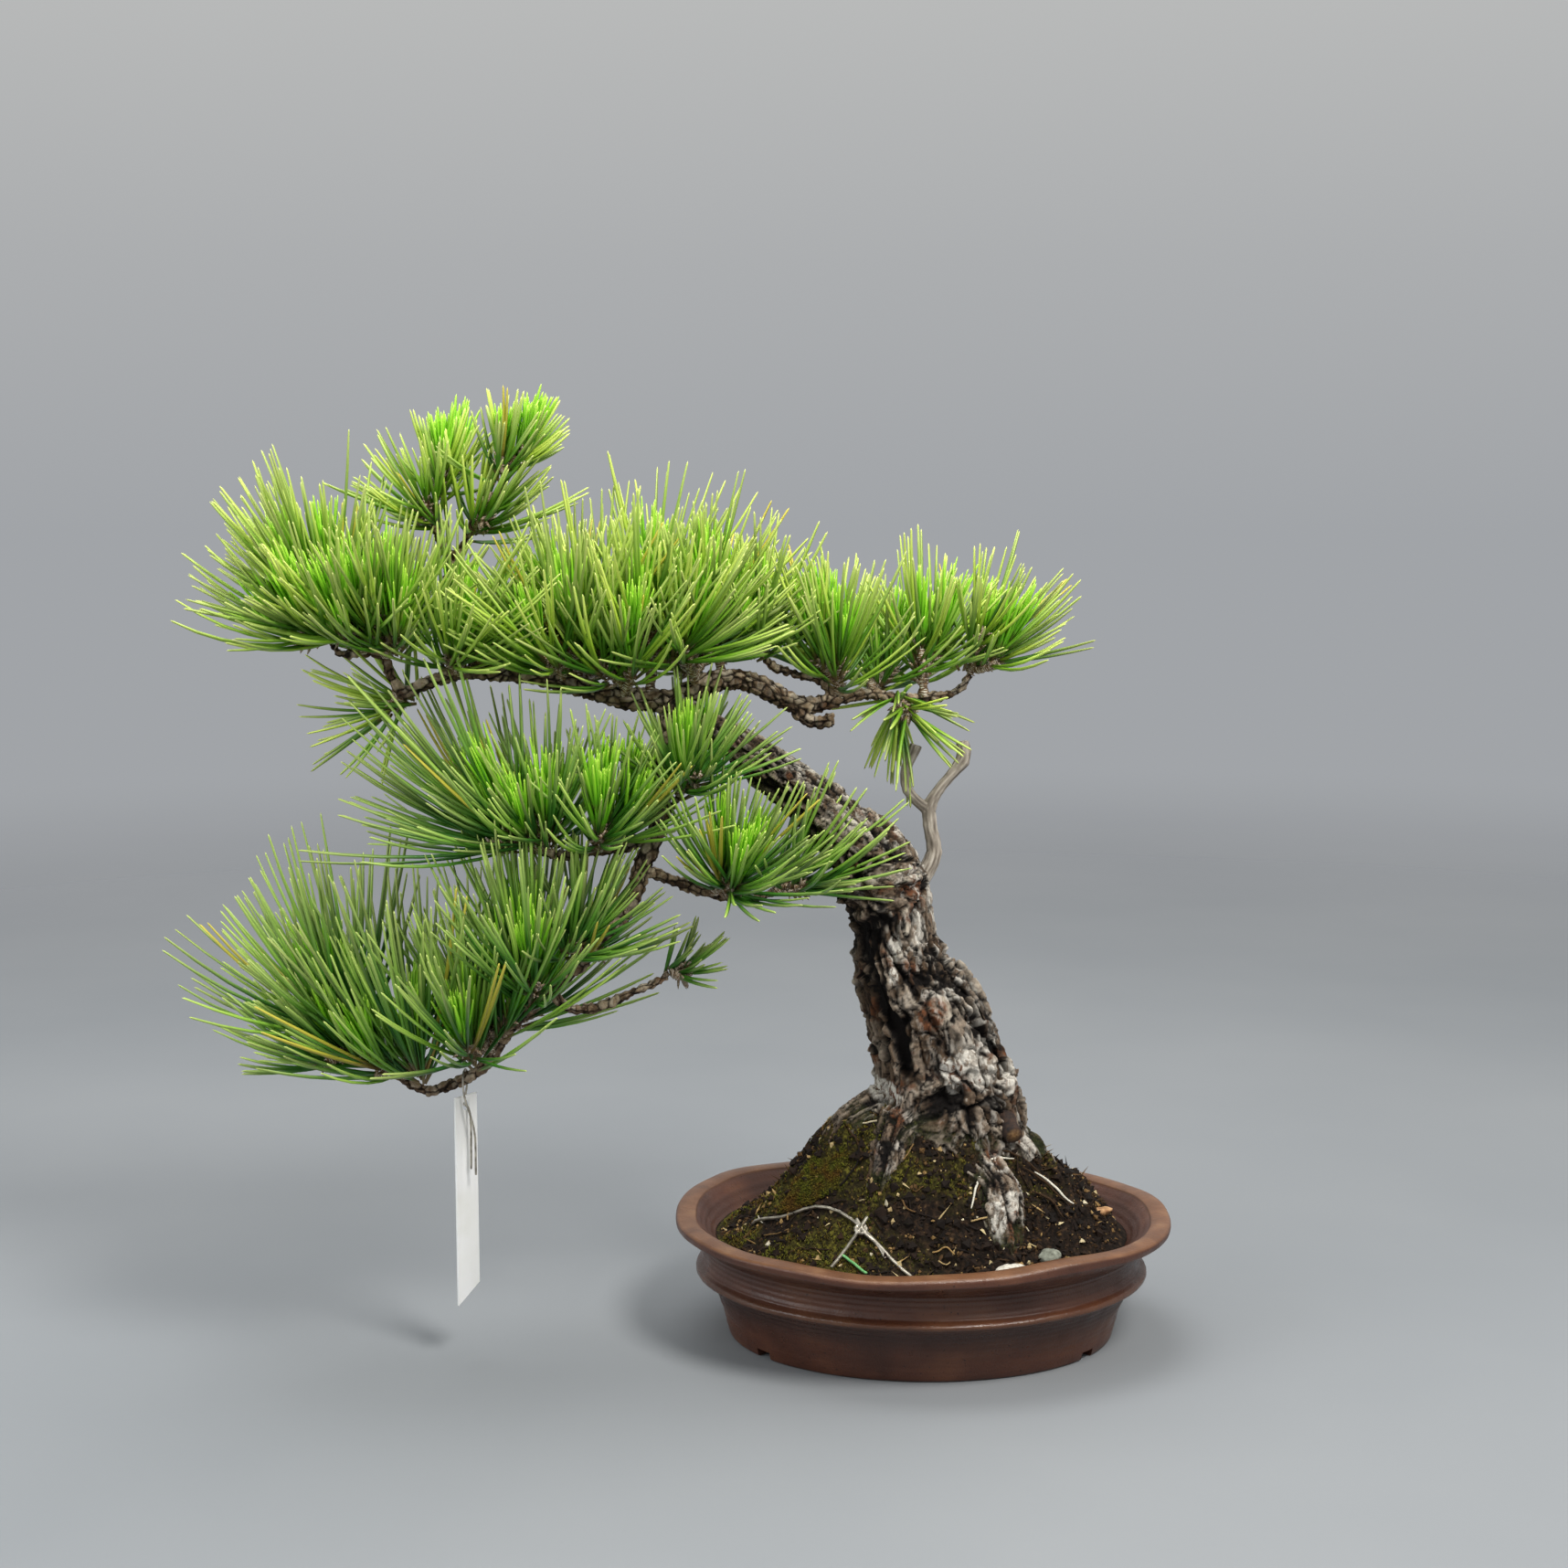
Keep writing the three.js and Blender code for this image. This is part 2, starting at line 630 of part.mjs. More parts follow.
// Each tuft's limb, its bud in the tree's measures, the way it points and its needles' length.
const TUFTS = {
  upper_left_tip: [UPPER_LEFT_TWIG, [-235, -31, 199], [-0.8, -0.15, 0.6], 60],
  upper_left_candle: [UPPER_LEFT_TWIG, [-230, -26, 212], [-0.2, 0.05, 1], 62],
  upper_left_front: [UPPER_LEFT_TWIG, [-217, -37, 199], [-0.3, -0.45, 0.85], 56],
  upper_left_inner: [UPPER_LEFT_TWIG, [-203, -31, 197], [0.15, -0.3, 0.95], 56],
  upper_left_under: [UPPER_LEFT, [-207, -17, 171], [-0.75, 0.35, 0.1], 42],
  upper_left_fan: [UPPER_LEFT, [-181, -33, 189], [0.5, -0.5, 0.7], 58],
  upper_left_back: [UPPER_LEFT_TWIG, [-218, -16, 197], [-0.25, 0.75, 0.65], 54],
  apex_top: [APEX, [-189, -13, 258], [0, 0, 1], 30],
  apex_left: [APEX, [-196, -15, 242], [-0.75, -0.3, 0.5], 40],
  apex_right: [APEX_TWIG, [-164, -20, 264], [0.2, 0, 1], 32],
  apex_low: [APEX_TWIG, [-171, -14, 238], [0.75, -0.2, 0.45], 44],
  centre_front_left: [UPPER_LEFT, [-137, -26, 191], [-0.2, -0.4, 0.95], 68],
  centre_high_left: [UPPER_LEFT, [-131, -9, 198], [-0.05, 0.15, 1], 66],
  centre_front: [UPPER_LEFT, [-114, -28, 186], [0.1, -0.55, 0.85], 60],
  centre_high: [UPPER_LEFT, [-108, -4, 205], [0.1, 0.15, 1], 68],
  centre_front_right: [UPPER_RIGHT, [-94, -22, 190], [0.7, -0.35, 0.6], 60],
  centre_right: [UPPER_RIGHT, [-86, -2, 203], [0.45, 0.1, 0.9], 58],
  centre_back_left: [UPPER_LEFT, [-137, 2, 184], [-0.25, 0.8, 0.6], 58],
  centre_back_right: [UPPER_RIGHT, [-96, 10, 186], [0.15, 0.8, 0.6], 58],
  right_return: [RETURN_TWIG, [-67, 0, 195], [0.1, -0.1, 1], 42],
  right_inner: [UPPER_RIGHT, [-34, 3, 183], [0.1, -0.25, 1], 54],
  right_candle: [UPPER_RIGHT, [-1, 19, 190], [0.1, 0, 1], 44],
  right_tip: [UPPER_RIGHT, [24, 22, 185], [0.78, 0, 0.66], 54],
  right_under: [UPPER_RIGHT, [-9, 13, 161], [0.1, -0.2, -1], 36],
  right_back: [UPPER_RIGHT, [-19, 25, 177], [-0.1, 0.8, 0.6], 48],
  middle_left_tip: [MIDDLE_LEFT, [-164, -34, 121], [-0.7, -0.15, 0.8], 86],
  middle_left_front: [MIDDLE_LEFT, [-147, -40, 124], [0, -0.5, 0.85], 54],
  middle_left_back: [MIDDLE_LEFT, [-150, -18, 119], [-0.4, 0.7, 0.6], 54],
  middle_left_inner: [MIDDLE_LEFT, [-126, -34, 123], [0.25, -0.35, 0.9], 52],
  middle_inner: [INNER_TWIG, [-95, -26, 141], [0.15, -0.3, 0.95], 50],
  middle_right_front: [MIDDLE_RIGHT, [-80, -26, 103], [0.1, -0.65, 0.75], 50],
  middle_right_tip: [MIDDLE_RIGHT, [-52, -14, 101], [0.8, -0.15, 0.55], 50],
  lower_left_tip: [LOWER, [-230, -31, 35], [-0.75, -0.2, 0.62], 60],
  lower_left_high: [LOWER, [-226, -20, 46], [-0.34, 0.1, 0.93], 82],
  lower_left_front: [LOWER, [-199, -39, 31], [-0.3, -0.4, 0.9], 78],
  lower_front: [LOWER, [-177, -42, 38], [-0.1, -0.35, 0.95], 76],
  lower_high: [LOWER, [-155, -38, 62], [0, -0.2, 1], 72],
  lower_inner: [LOWER, [-136, -38, 78], [0.6, -0.4, 0.7], 50],
  lower_back: [LOWER, [-172, -18, 42], [-0.1, 0.65, 0.8], 68],
  lower_twig_end: [LOWER_TWIG, [-94, -18, 64], [0.9, -0.1, 0.35], 24],
};

// The place on a limb's centreline nearest to a point, with its radius and direction there.
function nearestOn(limb, point) {
  const curve = curveOf(limb);
  const parts = 60;
  const places = curve.getPoints(parts);
  let best = 0;
  for (let i = 1; i <= parts; i += 1) {
    if (places[i].distanceTo(point) < places[best].distanceTo(point)) best = i;
  }
  const share = best / parts;
  return { place: places[best], radius: sample(limb.radii, share), tangent: curve.getTangent(share) };
}

// The shoot that carries one tuft: from its limb's centreline to the bud.
function shootOf([limb, [x, y, z], way]) {
  const bud = new THREE.Vector3(x, y, TREE_Z + z);
  const toward = new THREE.Vector3(...way).normalize();
  const { place, radius } = nearestOn(limb, bud);
  const out = bud.clone().sub(place);
  const least = radius + SHOOT_STAND_OFF;
  if (out.length() < least) bud.copy(place).addScaledVector(out.normalize(), least);
  return { points: [place, bud], radii: [SHOOT_RADIUS * 1.15, SHOOT_RADIUS], sides: 5, steps: 1, toward };
}

// The least distance between the segments a-b and c-d.
function segmentDistance(a, b, c, d) {
  const [first, second, between] = [b.clone().sub(a), d.clone().sub(c), a.clone().sub(c)];
  const [aa, ee, f] = [first.lengthSq(), second.lengthSq(), second.dot(between)];
  const [cross, start] = [first.dot(second), first.dot(between)];
  const flat = aa * ee - cross * cross;
  let s = flat > 1e-9 ? THREE.MathUtils.clamp((cross * f - start * ee) / flat, 0, 1) : 0;
  let t = ee > 1e-9 ? (cross * s + f) / ee : 0;
  if (t < 0 || t > 1) {
    t = THREE.MathUtils.clamp(t, 0, 1);
    s = THREE.MathUtils.clamp((t * cross - start) / aa, 0, 1);
  }
  return a.clone().addScaledVector(first, s).distanceTo(c.clone().addScaledVector(second, t));
}

// The straight pieces of a limb as obstacles: { from, to, radius, owner }.
function obstaclesOf(limb, owner) {
  const places = curveOf(limb).getPoints(limb.steps);
  return places.slice(1).map((to, i) => {
    const radius = Math.max(sample(limb.radii, i / limb.steps), sample(limb.radii, (i + 1) / limb.steps));
    return { from: places[i], to, radius: radius * (1 + 1.6 * (limb.gnarl ?? 0)), owner };
  });
}

const ALL_LIMBS = [
  TRUNK, ...ROOTS, KNOB, DEAD_BRANCH, DEAD_FORK, UPPER_LEFT, UPPER_LEFT_TWIG, APEX, APEX_TWIG, UPPER_RIGHT,
  CUT_PRONG, RETURN_TWIG, LOWER, LOWER_TWIG, MIDDLE_LEFT, MIDDLE_RIGHT, INNER_TWIG,
];
const SHOOTS = Object.fromEntries(Object.entries(TUFTS).map(([name, tuft]) => [name, shootOf(tuft)]));
const obstacles = ALL_LIMBS.flatMap((limb) => obstaclesOf(limb, "wood"));
for (const [name, shoot] of Object.entries(SHOOTS)) {
  obstacles.push({ from: shoot.points[0], to: shoot.points[1], radius: SHOOT_RADIUS * 1.15, owner: name });
  obstacles.push({ from: shoot.points[1], to: shoot.points[1], radius: BUD_RADIUS, owner: name });
}

// Needle directions: a golden-angle spiral that opens from the shoot's axis.
function needleWay(toward, index) {
  const side = new THREE.Vector3(0, 1, 0).cross(toward);
  if (side.lengthSq() < 0.01) side.set(1, 0, 0).cross(toward);
  side.normalize();
  const up = toward.clone().cross(side);
  const lean = NEEDLE_SPREAD * Math.sqrt((index + 0.4) / NEEDLES);
  const turn = index * GOLDEN_ANGLE;
  return toward
    .clone()
    .multiplyScalar(Math.cos(lean))
    .addScaledVector(side, Math.sin(lean) * Math.cos(turn))
    .addScaledVector(up, Math.sin(lean) * Math.sin(turn));
}

// The needle from a bud, shortened until it stands clear of every other piece.
function clearNeedle(name, bud, way, longest) {
  const from = bud.clone().addScaledVector(way, 0.2 * BUD_RADIUS);
  const others = obstacles.filter((other) => other.owner !== name);
  for (let length = longest; length >= SHORTEST_NEEDLE; length -= 2) {
    const to = bud.clone().addScaledVector(way, length);
    const clear = others.every((other) => {
      const apart = segmentDistance(from, to, other.from, other.to);
      return apart > other.radius + NEEDLE_RADIUS + NEEDLE_CLEARANCE;
    });
    if (clear) return { from, to, radius: NEEDLE_RADIUS, owner: name };
  }
  return null;
}

// A three-sided needle: thin at its root in the bud, widest a little way out, sharp at its tip.
function needleSolid({ from, to }) {
  const length = from.distanceTo(to);
  const profile = [
    new THREE.Vector2(0, 0),
    new THREE.Vector2(NEEDLE_RADIUS, Math.min(NEEDLE_SWELL, length / 2)),
    new THREE.Vector2(0, length),
  ];
  const needle = new THREE.LatheGeometry(profile, 3);
  const way = to.clone().sub(from).normalize();
  needle.applyQuaternion(new THREE.Quaternion().setFromUnitVectors(new THREE.Vector3(0, 1, 0), way));
  needle.translate(from.x, from.y, from.z);
  return solidOf(needle);
}

const shootRooms = []; // of the tufts made so far

function tuft(name) {
  const longest = TUFTS[name][3];
  const shoot = SHOOTS[name];
  const bud = shoot.points[1];
  const knob = new THREE.OctahedronGeometry(BUD_RADIUS, 0);
  knob.translate(bud.x, bud.y, bud.z);
  let stem = limbSolid(shoot);
  for (const room of [...Object.values(ROOM), ...shootRooms]) stem = stem.subtract(room);
  shootRooms.push(limbSolid(shoot, GAP));
  let solid = stem.add(solidOf(knob));
  for (let index = 0; index < NEEDLES; index += 1) {
    const needle = clearNeedle(name, bud, needleWay(shoot.toward, index), longest);
    if (!needle) continue;
    obstacles.push(needle);
    solid = solid.add(needleSolid(needle));
  }
  return largestBody(solid);
}

// ---- Label ----

// The place on the lowest branch where the label's wire hangs.
const HANGER = nearestOn(LOWER, new THREE.Vector3(-182, -29, TREE_Z + 22));

function label() {
  const half = LABEL_WIDTH / 2;
  const corners = [
    [-half, 0],
    [half, 0],
    [half, LABEL_SLANT * LABEL_WIDTH - LABEL_LENGTH],
    [-half, -LABEL_LENGTH],
  ];
  const outline = new THREE.Shape(corners.map(([x, y]) => new THREE.Vector2(x, y)));
  const strip = new THREE.ExtrudeGeometry(outline, { depth: LABEL_THICKNESS, bevelEnabled: false });
  strip.translate(0, 0, -LABEL_THICKNESS / 2);
  const hole = new THREE.CylinderGeometry(LABEL_HOLE_RADIUS, LABEL_HOLE_RADIUS, 4 * LABEL_THICKNESS, 10);
  hole.rotateX(Math.PI / 2);
  hole.translate(0, -LABEL_HOLE_INSET, 0);
  for (const piece of [strip, hole]) {
    piece.rotateX(Math.PI / 2);
    piece.rotateZ(LABEL_TURN);
    piece.translate(HANGER.place.x, HANGER.place.y, HANGER.place.z - HANGER.radius - LABEL_DROP);
  }
  return solidOf(strip).subtract(solidOf(hole));
}

// A stiff wire bent over the branch: one leg goes through the label's hole, and both hang behind it.
function labelWire() {
  const { place, radius, tangent } = HANGER;
  const reach = radius + LABEL_WIRE_RADIUS + 3 * GAP;
  const across = new THREE.Vector3(-tangent.y, tangent.x, 0).normalize();
  const out = new THREE.Vector3(-Math.sin(LABEL_TURN), Math.cos(LABEL_TURN), 0);
  if (across.dot(out) < 0) across.negate();
  const hole = -radius - LABEL_DROP - LABEL_HOLE_INSET;
  // [along across, along out, up] from the branch's centreline
  const points = [
    [0, -5, -38],
    [-0.4, -4.6, -20],
    [-reach, -0.8, -6],
    [-reach, 0, 0],
    [-reach * 0.72, 0, reach * 0.72],
    [0, 0, reach],
    [reach * 0.72, 0, reach * 0.72],
    [reach, 0, 0],
    [reach * 0.7, 0.8, hole + 3.2],
    [0, 1.6, hole + 0.6],
    [0, 0, hole],
    [0, -1.7, hole - 0.8],
    [0, -2.6, hole - 5],
    [0, -2.5, -36],
  ].map(([side, front, up]) => {
    const point = place.clone().addScaledVector(across, side).addScaledVector(out, front);
    return point.setZ(point.z + up);
  });
  return limbSolid({ points, radii: [LABEL_WIRE_RADIUS], sides: 5, steps: 36 });
}

// ---- Materials ----

const paint = (color, roughness, metalness = 0) => () =>
  new THREE.MeshStandardMaterial({ color, roughness, metalness, flatShading: true });
const clay = paint("#5e3a26", 0.6);
const earth = paint("#2e241a", 0.95);
const mossGreen = paint("#4c5418", 0.95);
const bark = paint("#8a7a68", 0.9);
const twigBark = paint("#6b5a44", 0.9);
const deadWood = paint("#cfc0a8", 0.8);
const needleGreen = paint("#6c9a2f", 0.5);
const steelWire = paint("#9a9488", 0.4, 0.9);
const darkMesh = paint("#1d1d1d", 0.7);
const paleStone = paint("#cfc9bd", 0.85);
const greyRock = paint("#7b7d70", 0.85);
const chipWood = paint("#b9855a", 0.9);
const whitePlastic = paint("#f4f3ec", 0.45);

// ---- Assembly ----

function pieces() {
  const list = [];
  const add = (name, solid, material) => list.push([name, solid, material]);
  add("pot", pot(), clay);
  add("drainage_mesh_left", drainageMesh(-1), darkMesh);
  add("drainage_mesh_right", drainageMesh(1), darkMesh);

  let soil = soilFilling().subtract(meshRoom(-1)).subtract(meshRoom(1));
  soil = soil.subtract(ROOM.trunk).subtract(anchorWire(GAP));
  for (const sunk of [whiteStone, greyStone, woodChip]) soil = soil.subtract(sunk(GAP));
  add("soil", largestBody(soil), earth);
  const clearOf = (solid) => largestBody(solid.subtract(ROOM.trunk).subtract(anchorWire(GAP)));
  add("moss_left", clearOf(mossCushion([-0.5, -0.28], [0.2, 0.16], MOSS_THICKNESS, 0.4)), mossGreen);
  add("moss_back", clearOf(mossCushion([-0.42, 0.34], [0.24, 0.26], MOSS_THICKNESS, 1.9)), mossGreen);
  add("stone_white", clearOf(whiteStone(0)), paleStone);
  add("stone_grey", clearOf(greyStone(0)), greyRock);
  add("wood_chip", clearOf(woodChip(0)), chipWood);
  add("anchor_wire", anchorWire(), steelWire);

  for (const name of Object.keys(WOOD)) {
    const material = { trunk: bark, dead_branch: deadWood }[name] ?? twigBark;
    add(name, woodPiece(name), material);
  }
  for (const name of Object.keys(TUFTS)) add("needles_" + name, tuft(name), needleGreen);
  add("label", label(), whitePlastic);
  add("label_wire", labelWire(), steelWire);
  return list;
}

const group = new THREE.Group();
group.name = "bonsai_pine";
for (const [name, solid, material] of pieces()) {
  const mesh = new THREE.Mesh(geometryOf(solid), material());
  mesh.name = name;
  group.add(mesh);
}

export default group;
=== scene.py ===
"""A bonsai pine in a handmade oval pot: the visual model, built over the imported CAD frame.

Lengths in this script are millimetres until a mesh is made; Blender's own units are metres.
"""

import math

import bmesh
import bpy
import numpy as np
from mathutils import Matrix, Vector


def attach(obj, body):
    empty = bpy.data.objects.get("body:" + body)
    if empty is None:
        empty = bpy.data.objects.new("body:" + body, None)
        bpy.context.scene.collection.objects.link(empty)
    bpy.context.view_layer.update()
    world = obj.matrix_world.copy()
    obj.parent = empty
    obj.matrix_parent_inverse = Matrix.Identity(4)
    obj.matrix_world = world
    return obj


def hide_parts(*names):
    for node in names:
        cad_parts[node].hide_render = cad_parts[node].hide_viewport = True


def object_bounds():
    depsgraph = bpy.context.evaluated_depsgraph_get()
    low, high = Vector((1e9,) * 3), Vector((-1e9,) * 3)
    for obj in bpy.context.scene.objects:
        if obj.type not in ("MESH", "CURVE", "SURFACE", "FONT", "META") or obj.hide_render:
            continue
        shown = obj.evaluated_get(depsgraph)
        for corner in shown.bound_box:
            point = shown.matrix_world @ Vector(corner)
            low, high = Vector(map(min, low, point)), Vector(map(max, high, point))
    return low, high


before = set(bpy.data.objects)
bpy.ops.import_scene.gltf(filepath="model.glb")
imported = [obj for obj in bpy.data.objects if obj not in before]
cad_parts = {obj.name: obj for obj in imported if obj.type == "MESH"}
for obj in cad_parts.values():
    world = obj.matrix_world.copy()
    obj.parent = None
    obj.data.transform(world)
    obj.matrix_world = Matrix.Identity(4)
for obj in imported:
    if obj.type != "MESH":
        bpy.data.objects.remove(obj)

CAD_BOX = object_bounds()
MM = 0.001
TURN = 2 * math.pi
GOLDEN_ANGLE = 2.39996
WELD = 0.001  # corners of a CAD solid that lie this close are one
CELL_JITTER = 0.85

# ---- Sizes shared with the CAD ----

POT_LENGTH, POT_DEPTH = 200.0, 166.0
FOOT_LENGTH, FOOT_DEPTH = 157.0, 117.0
WALL, POT_FLOOR = 8.0, 8.0
HOLE_RADIUS, HOLE_SPACING = 8.0, 64.0
GROOVE_WIDTH, GROOVE_DEPTH = 7.0, 3.5
GROOVE_TURN = 0.75  # radians from the pot's depth to each groove
SOIL_LEVEL = 41.0
MOUND_RISE = 55.0
MOUND_CROWN = 0.2
SOIL_HALF = np.array([84.0, 65.9])
SOIL_GAP = 0.3  # between the soil and the pot's inside
SURFACE_DROP = 0.4  # how far the rough surface is let down
TREE_Z = 90.0  # where the tree's own heights start


# ---- Camera ----

CAMERA_PLACE = (-0.056, -0.856, 0.326)
CAMERA_DIP = 6.7  # degrees below level
LENS_LENGTH, SENSOR_WIDTH = 49.45, 36.0


def make_camera():
    data = bpy.data.cameras.new("camera")
    data.lens = LENS_LENGTH
    data.sensor_width = SENSOR_WIDTH
    data.clip_start = 0.02
    camera = bpy.data.objects.new("camera", data)
    camera.location = CAMERA_PLACE
    camera.rotation_euler = (math.radians(90 - CAMERA_DIP), 0, 0)
    bpy.context.scene.collection.objects.link(camera)
    bpy.context.scene.camera = camera


make_camera()

# ---- Noise on arrays of points ----


def hashed(cells, seed):
    """A number from 0 to 1 for each integer cell."""
    mix = cells[..., 0] * 374761393 + cells[..., 1] * 668265263 + cells[..., 2] * 1274126177
    mix = (mix + seed * 974634777) & 0xFFFFFFFF
    mix = ((mix ^ (mix >> 15)) * 2246822519) & 0xFFFFFFFF
    mix = ((mix ^ (mix >> 13)) * 3266489917) & 0xFFFFFFFF
    return ((mix ^ (mix >> 16)) & 0xFFFFFF) / float(0xFFFFFF)


def value_noise(points, seed=0):
    """Smooth noise from -1 to 1 with features one unit wide."""
    low = np.floor(points).astype(np.int64)
    part = points - low
    part = part * part * (3 - 2 * part)
    total = np.zeros(len(points))
    for corner in np.ndindex(2, 2, 2):
        corner = np.array(corner)
        weight = np.prod(np.where(corner, part, 1 - part), axis=1)
        total += weight * hashed(low + corner, seed)
    return 2 * total - 1


def layered_noise(points, size, layers=4, seed=0):
    total = np.zeros(len(points))
    strength = 1.0
    for layer in range(layers):
        total += strength * value_noise(points / size * 2**layer + 17.3 * layer, seed + layer)
        strength *= 0.5
    return total / (2 - 2 ** (1 - layers))


def cells_of(points, seed=0):
    """Voronoi cells one unit wide: nearest and second distance, the cell's number and the offset in it."""
    base = np.floor(points).astype(np.int64)
    first = np.full(len(points), 9.0)
    second = np.full(len(points), 9.0)
    number = np.zeros(len(points))
    offset = np.zeros_like(points)
    for step in np.ndindex(3, 3, 3):
        cell = base + np.array(step) - 1
        centre = cell + 0.5
        for axis in range(3):
            centre[:, axis] += CELL_JITTER * (hashed(cell, seed + 31 * axis) - 0.5)
        away = points - centre
        distance = np.linalg.norm(away, axis=1)
        nearer = distance < first
        second = np.where(nearer, first, np.minimum(second, distance))
        first = np.where(nearer, distance, first)
        number = np.where(nearer, hashed(cell, seed + 7), number)
        offset = np.where(nearer[:, None], away, offset)
    return first, second, number, offset


def crack_at(first, second, width):
    """How near a place is to the crack between two cells: 1 in it and 0 beyond the width."""
    return 1 - smooth_step(0.02, width, second - first)


def noise_bend(points, size):
    """Three independent noises, as a shift of each point."""
    return np.column_stack([layered_noise(points, size, 3, seed=k) for k in (1, 2, 3)])


def hump(values, middle, reach):
    """1 at the middle value, falling smoothly to 0 on both sides."""
    return np.exp(-(((values - middle) / reach) ** 2))


def smooth_step(low, high, values):
    share = np.clip((values - low) / (high - low), 0, 1)
    return share * share * (3 - 2 * share)


# ---- Meshes ----


def make_object(name, points, faces, material, replaces=(), attributes=None, smooth=True):
    """A piece of the model from points in mm, riding on the root body."""
    mesh = bpy.data.meshes.new(name)
    mesh.from_pydata((np.asarray(points) * MM).tolist(), [], faces)
    return finish_piece(name, mesh, material, replaces, attributes, smooth)


def add_attributes(mesh, attributes):
    """Numbers on the mesh's points, which the materials read by name."""
    for key, values in attributes.items():
        layer = mesh.attributes.new(key, "FLOAT", "POINT")
        layer.data.foreach_set("value", np.asarray(values, np.float32))


def finish_piece(name, mesh, material, replaces=(), attributes=None, smooth=True):
    """Put a finished mesh in the scene as a piece that rides on the root body."""
    add_attributes(mesh, attributes or {})
    mesh.polygons.foreach_set("use_smooth", [smooth] * len(mesh.polygons))
    mesh.materials.append(material)
    piece = bpy.data.objects.new(name, mesh)
    bpy.context.scene.collection.objects.link(piece)
    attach(piece, "root")
    if replaces:
        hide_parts(*replaces)
    return piece


def arrays_of(mesh):
    """Points in mm, outward normals and face corner lists of a mesh."""
    points = np.empty(3 * len(mesh.vertices))
    normals = np.empty(3 * len(mesh.vertices))
    mesh.vertices.foreach_get("co", points)
    mesh.vertex_normals.foreach_get("vector", normals)
    faces = [tuple(polygon.vertices) for polygon in mesh.polygons]
    return points.reshape(-1, 3) / MM, normals.reshape(-1, 3), faces


def evaluated_mesh(obj):
    graph = bpy.context.evaluated_depsgraph_get()
    return bpy.data.meshes.new_from_object(obj.evaluated_get(graph))


def welded_copy(node):
    """A CAD node's solid as a bmesh, with its shared corners joined."""
    shape = bmesh.new()
    shape.from_mesh(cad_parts[node].data)
    bmesh.ops.remove_doubles(shape, verts=shape.verts, dist=WELD * MM)
    return shape


def object_of(shape, name):
    """A linked object made from a bmesh, which is used up."""
    mesh = bpy.data.meshes.new(name)
    shape.to_mesh(mesh)
    shape.free()
    made = bpy.data.objects.new(name, mesh)
    bpy.context.scene.collection.objects.link(made)
    return made


def dense_copy(node, voxel, smoothing=2):
    """An even, fine mesh of a CAD node's solid: points, normals and faces."""
    worker = object_of(welded_copy(node), "dense")
    remesh = worker.modifiers.new("remesh", "REMESH")
    remesh.mode = "VOXEL"
    remesh.voxel_size = voxel * MM
    soften = worker.modifiers.new("soften", "SMOOTH")
    soften.factor = 0.5
    soften.iterations = smoothing
    made = arrays_of(evaluated_mesh(worker))
    bpy.data.objects.remove(worker)
    return made


def oval_loft(rows, segments):
    """Points and faces of a turned oval solid. Rows are [half length, half depth, height], from
    the lower middle round the outside to the upper middle; the first and last are single points."""
    turn = np.arange(segments) * TURN / segments
    rings = np.array(rows[1:-1])
    points = np.empty((len(rings), segments, 3))
    points[:, :, 0] = rings[:, 0:1] * np.cos(turn)
    points[:, :, 1] = rings[:, 1:2] * np.sin(turn)
    points[:, :, 2] = rings[:, 2:3]
    count = len(rings) * segments
    faces = []
    for ring in range(len(rings) - 1):
        for k in range(segments):
            a = ring * segments + k
            b = ring * segments + (k + 1) % segments
            faces.append((a, b, b + segments, a + segments))
    for k in range(segments):
        after = (k + 1) % segments
        faces.append((count, after, k))
        faces.append((count + 1, count - segments + k, count - segments + after))
    ends = [[0, 0, rows[0][2]], [0, 0, rows[-1][2]]]
    return np.vstack([points.reshape(-1, 3), ends]), faces


def spline(points, per_span=12):
    """A Catmull-Rom curve through the points."""
    points = np.asarray(points, float)
    padded = np.vstack([2 * points[0] - points[1], points, 2 * points[-1] - points[-2]])
    made = []
    for i in range(len(points) - 1):
        a, b, c, d = padded[i : i + 4]
        for t in np.arange(per_span) / per_span:
            line = 2 * b + (c - a) * t + (2 * a - 5 * b + 4 * c - d) * t**2
            made.append(0.5 * (line + (3 * b - a - 3 * c + d) * t**3))
    made.append(points[-1])
    return np.array(made)


def unit(vectors):
    return vectors / np.maximum(np.linalg.norm(vectors, axis=-1, keepdims=True), 1e-9)


# ---- Materials ----


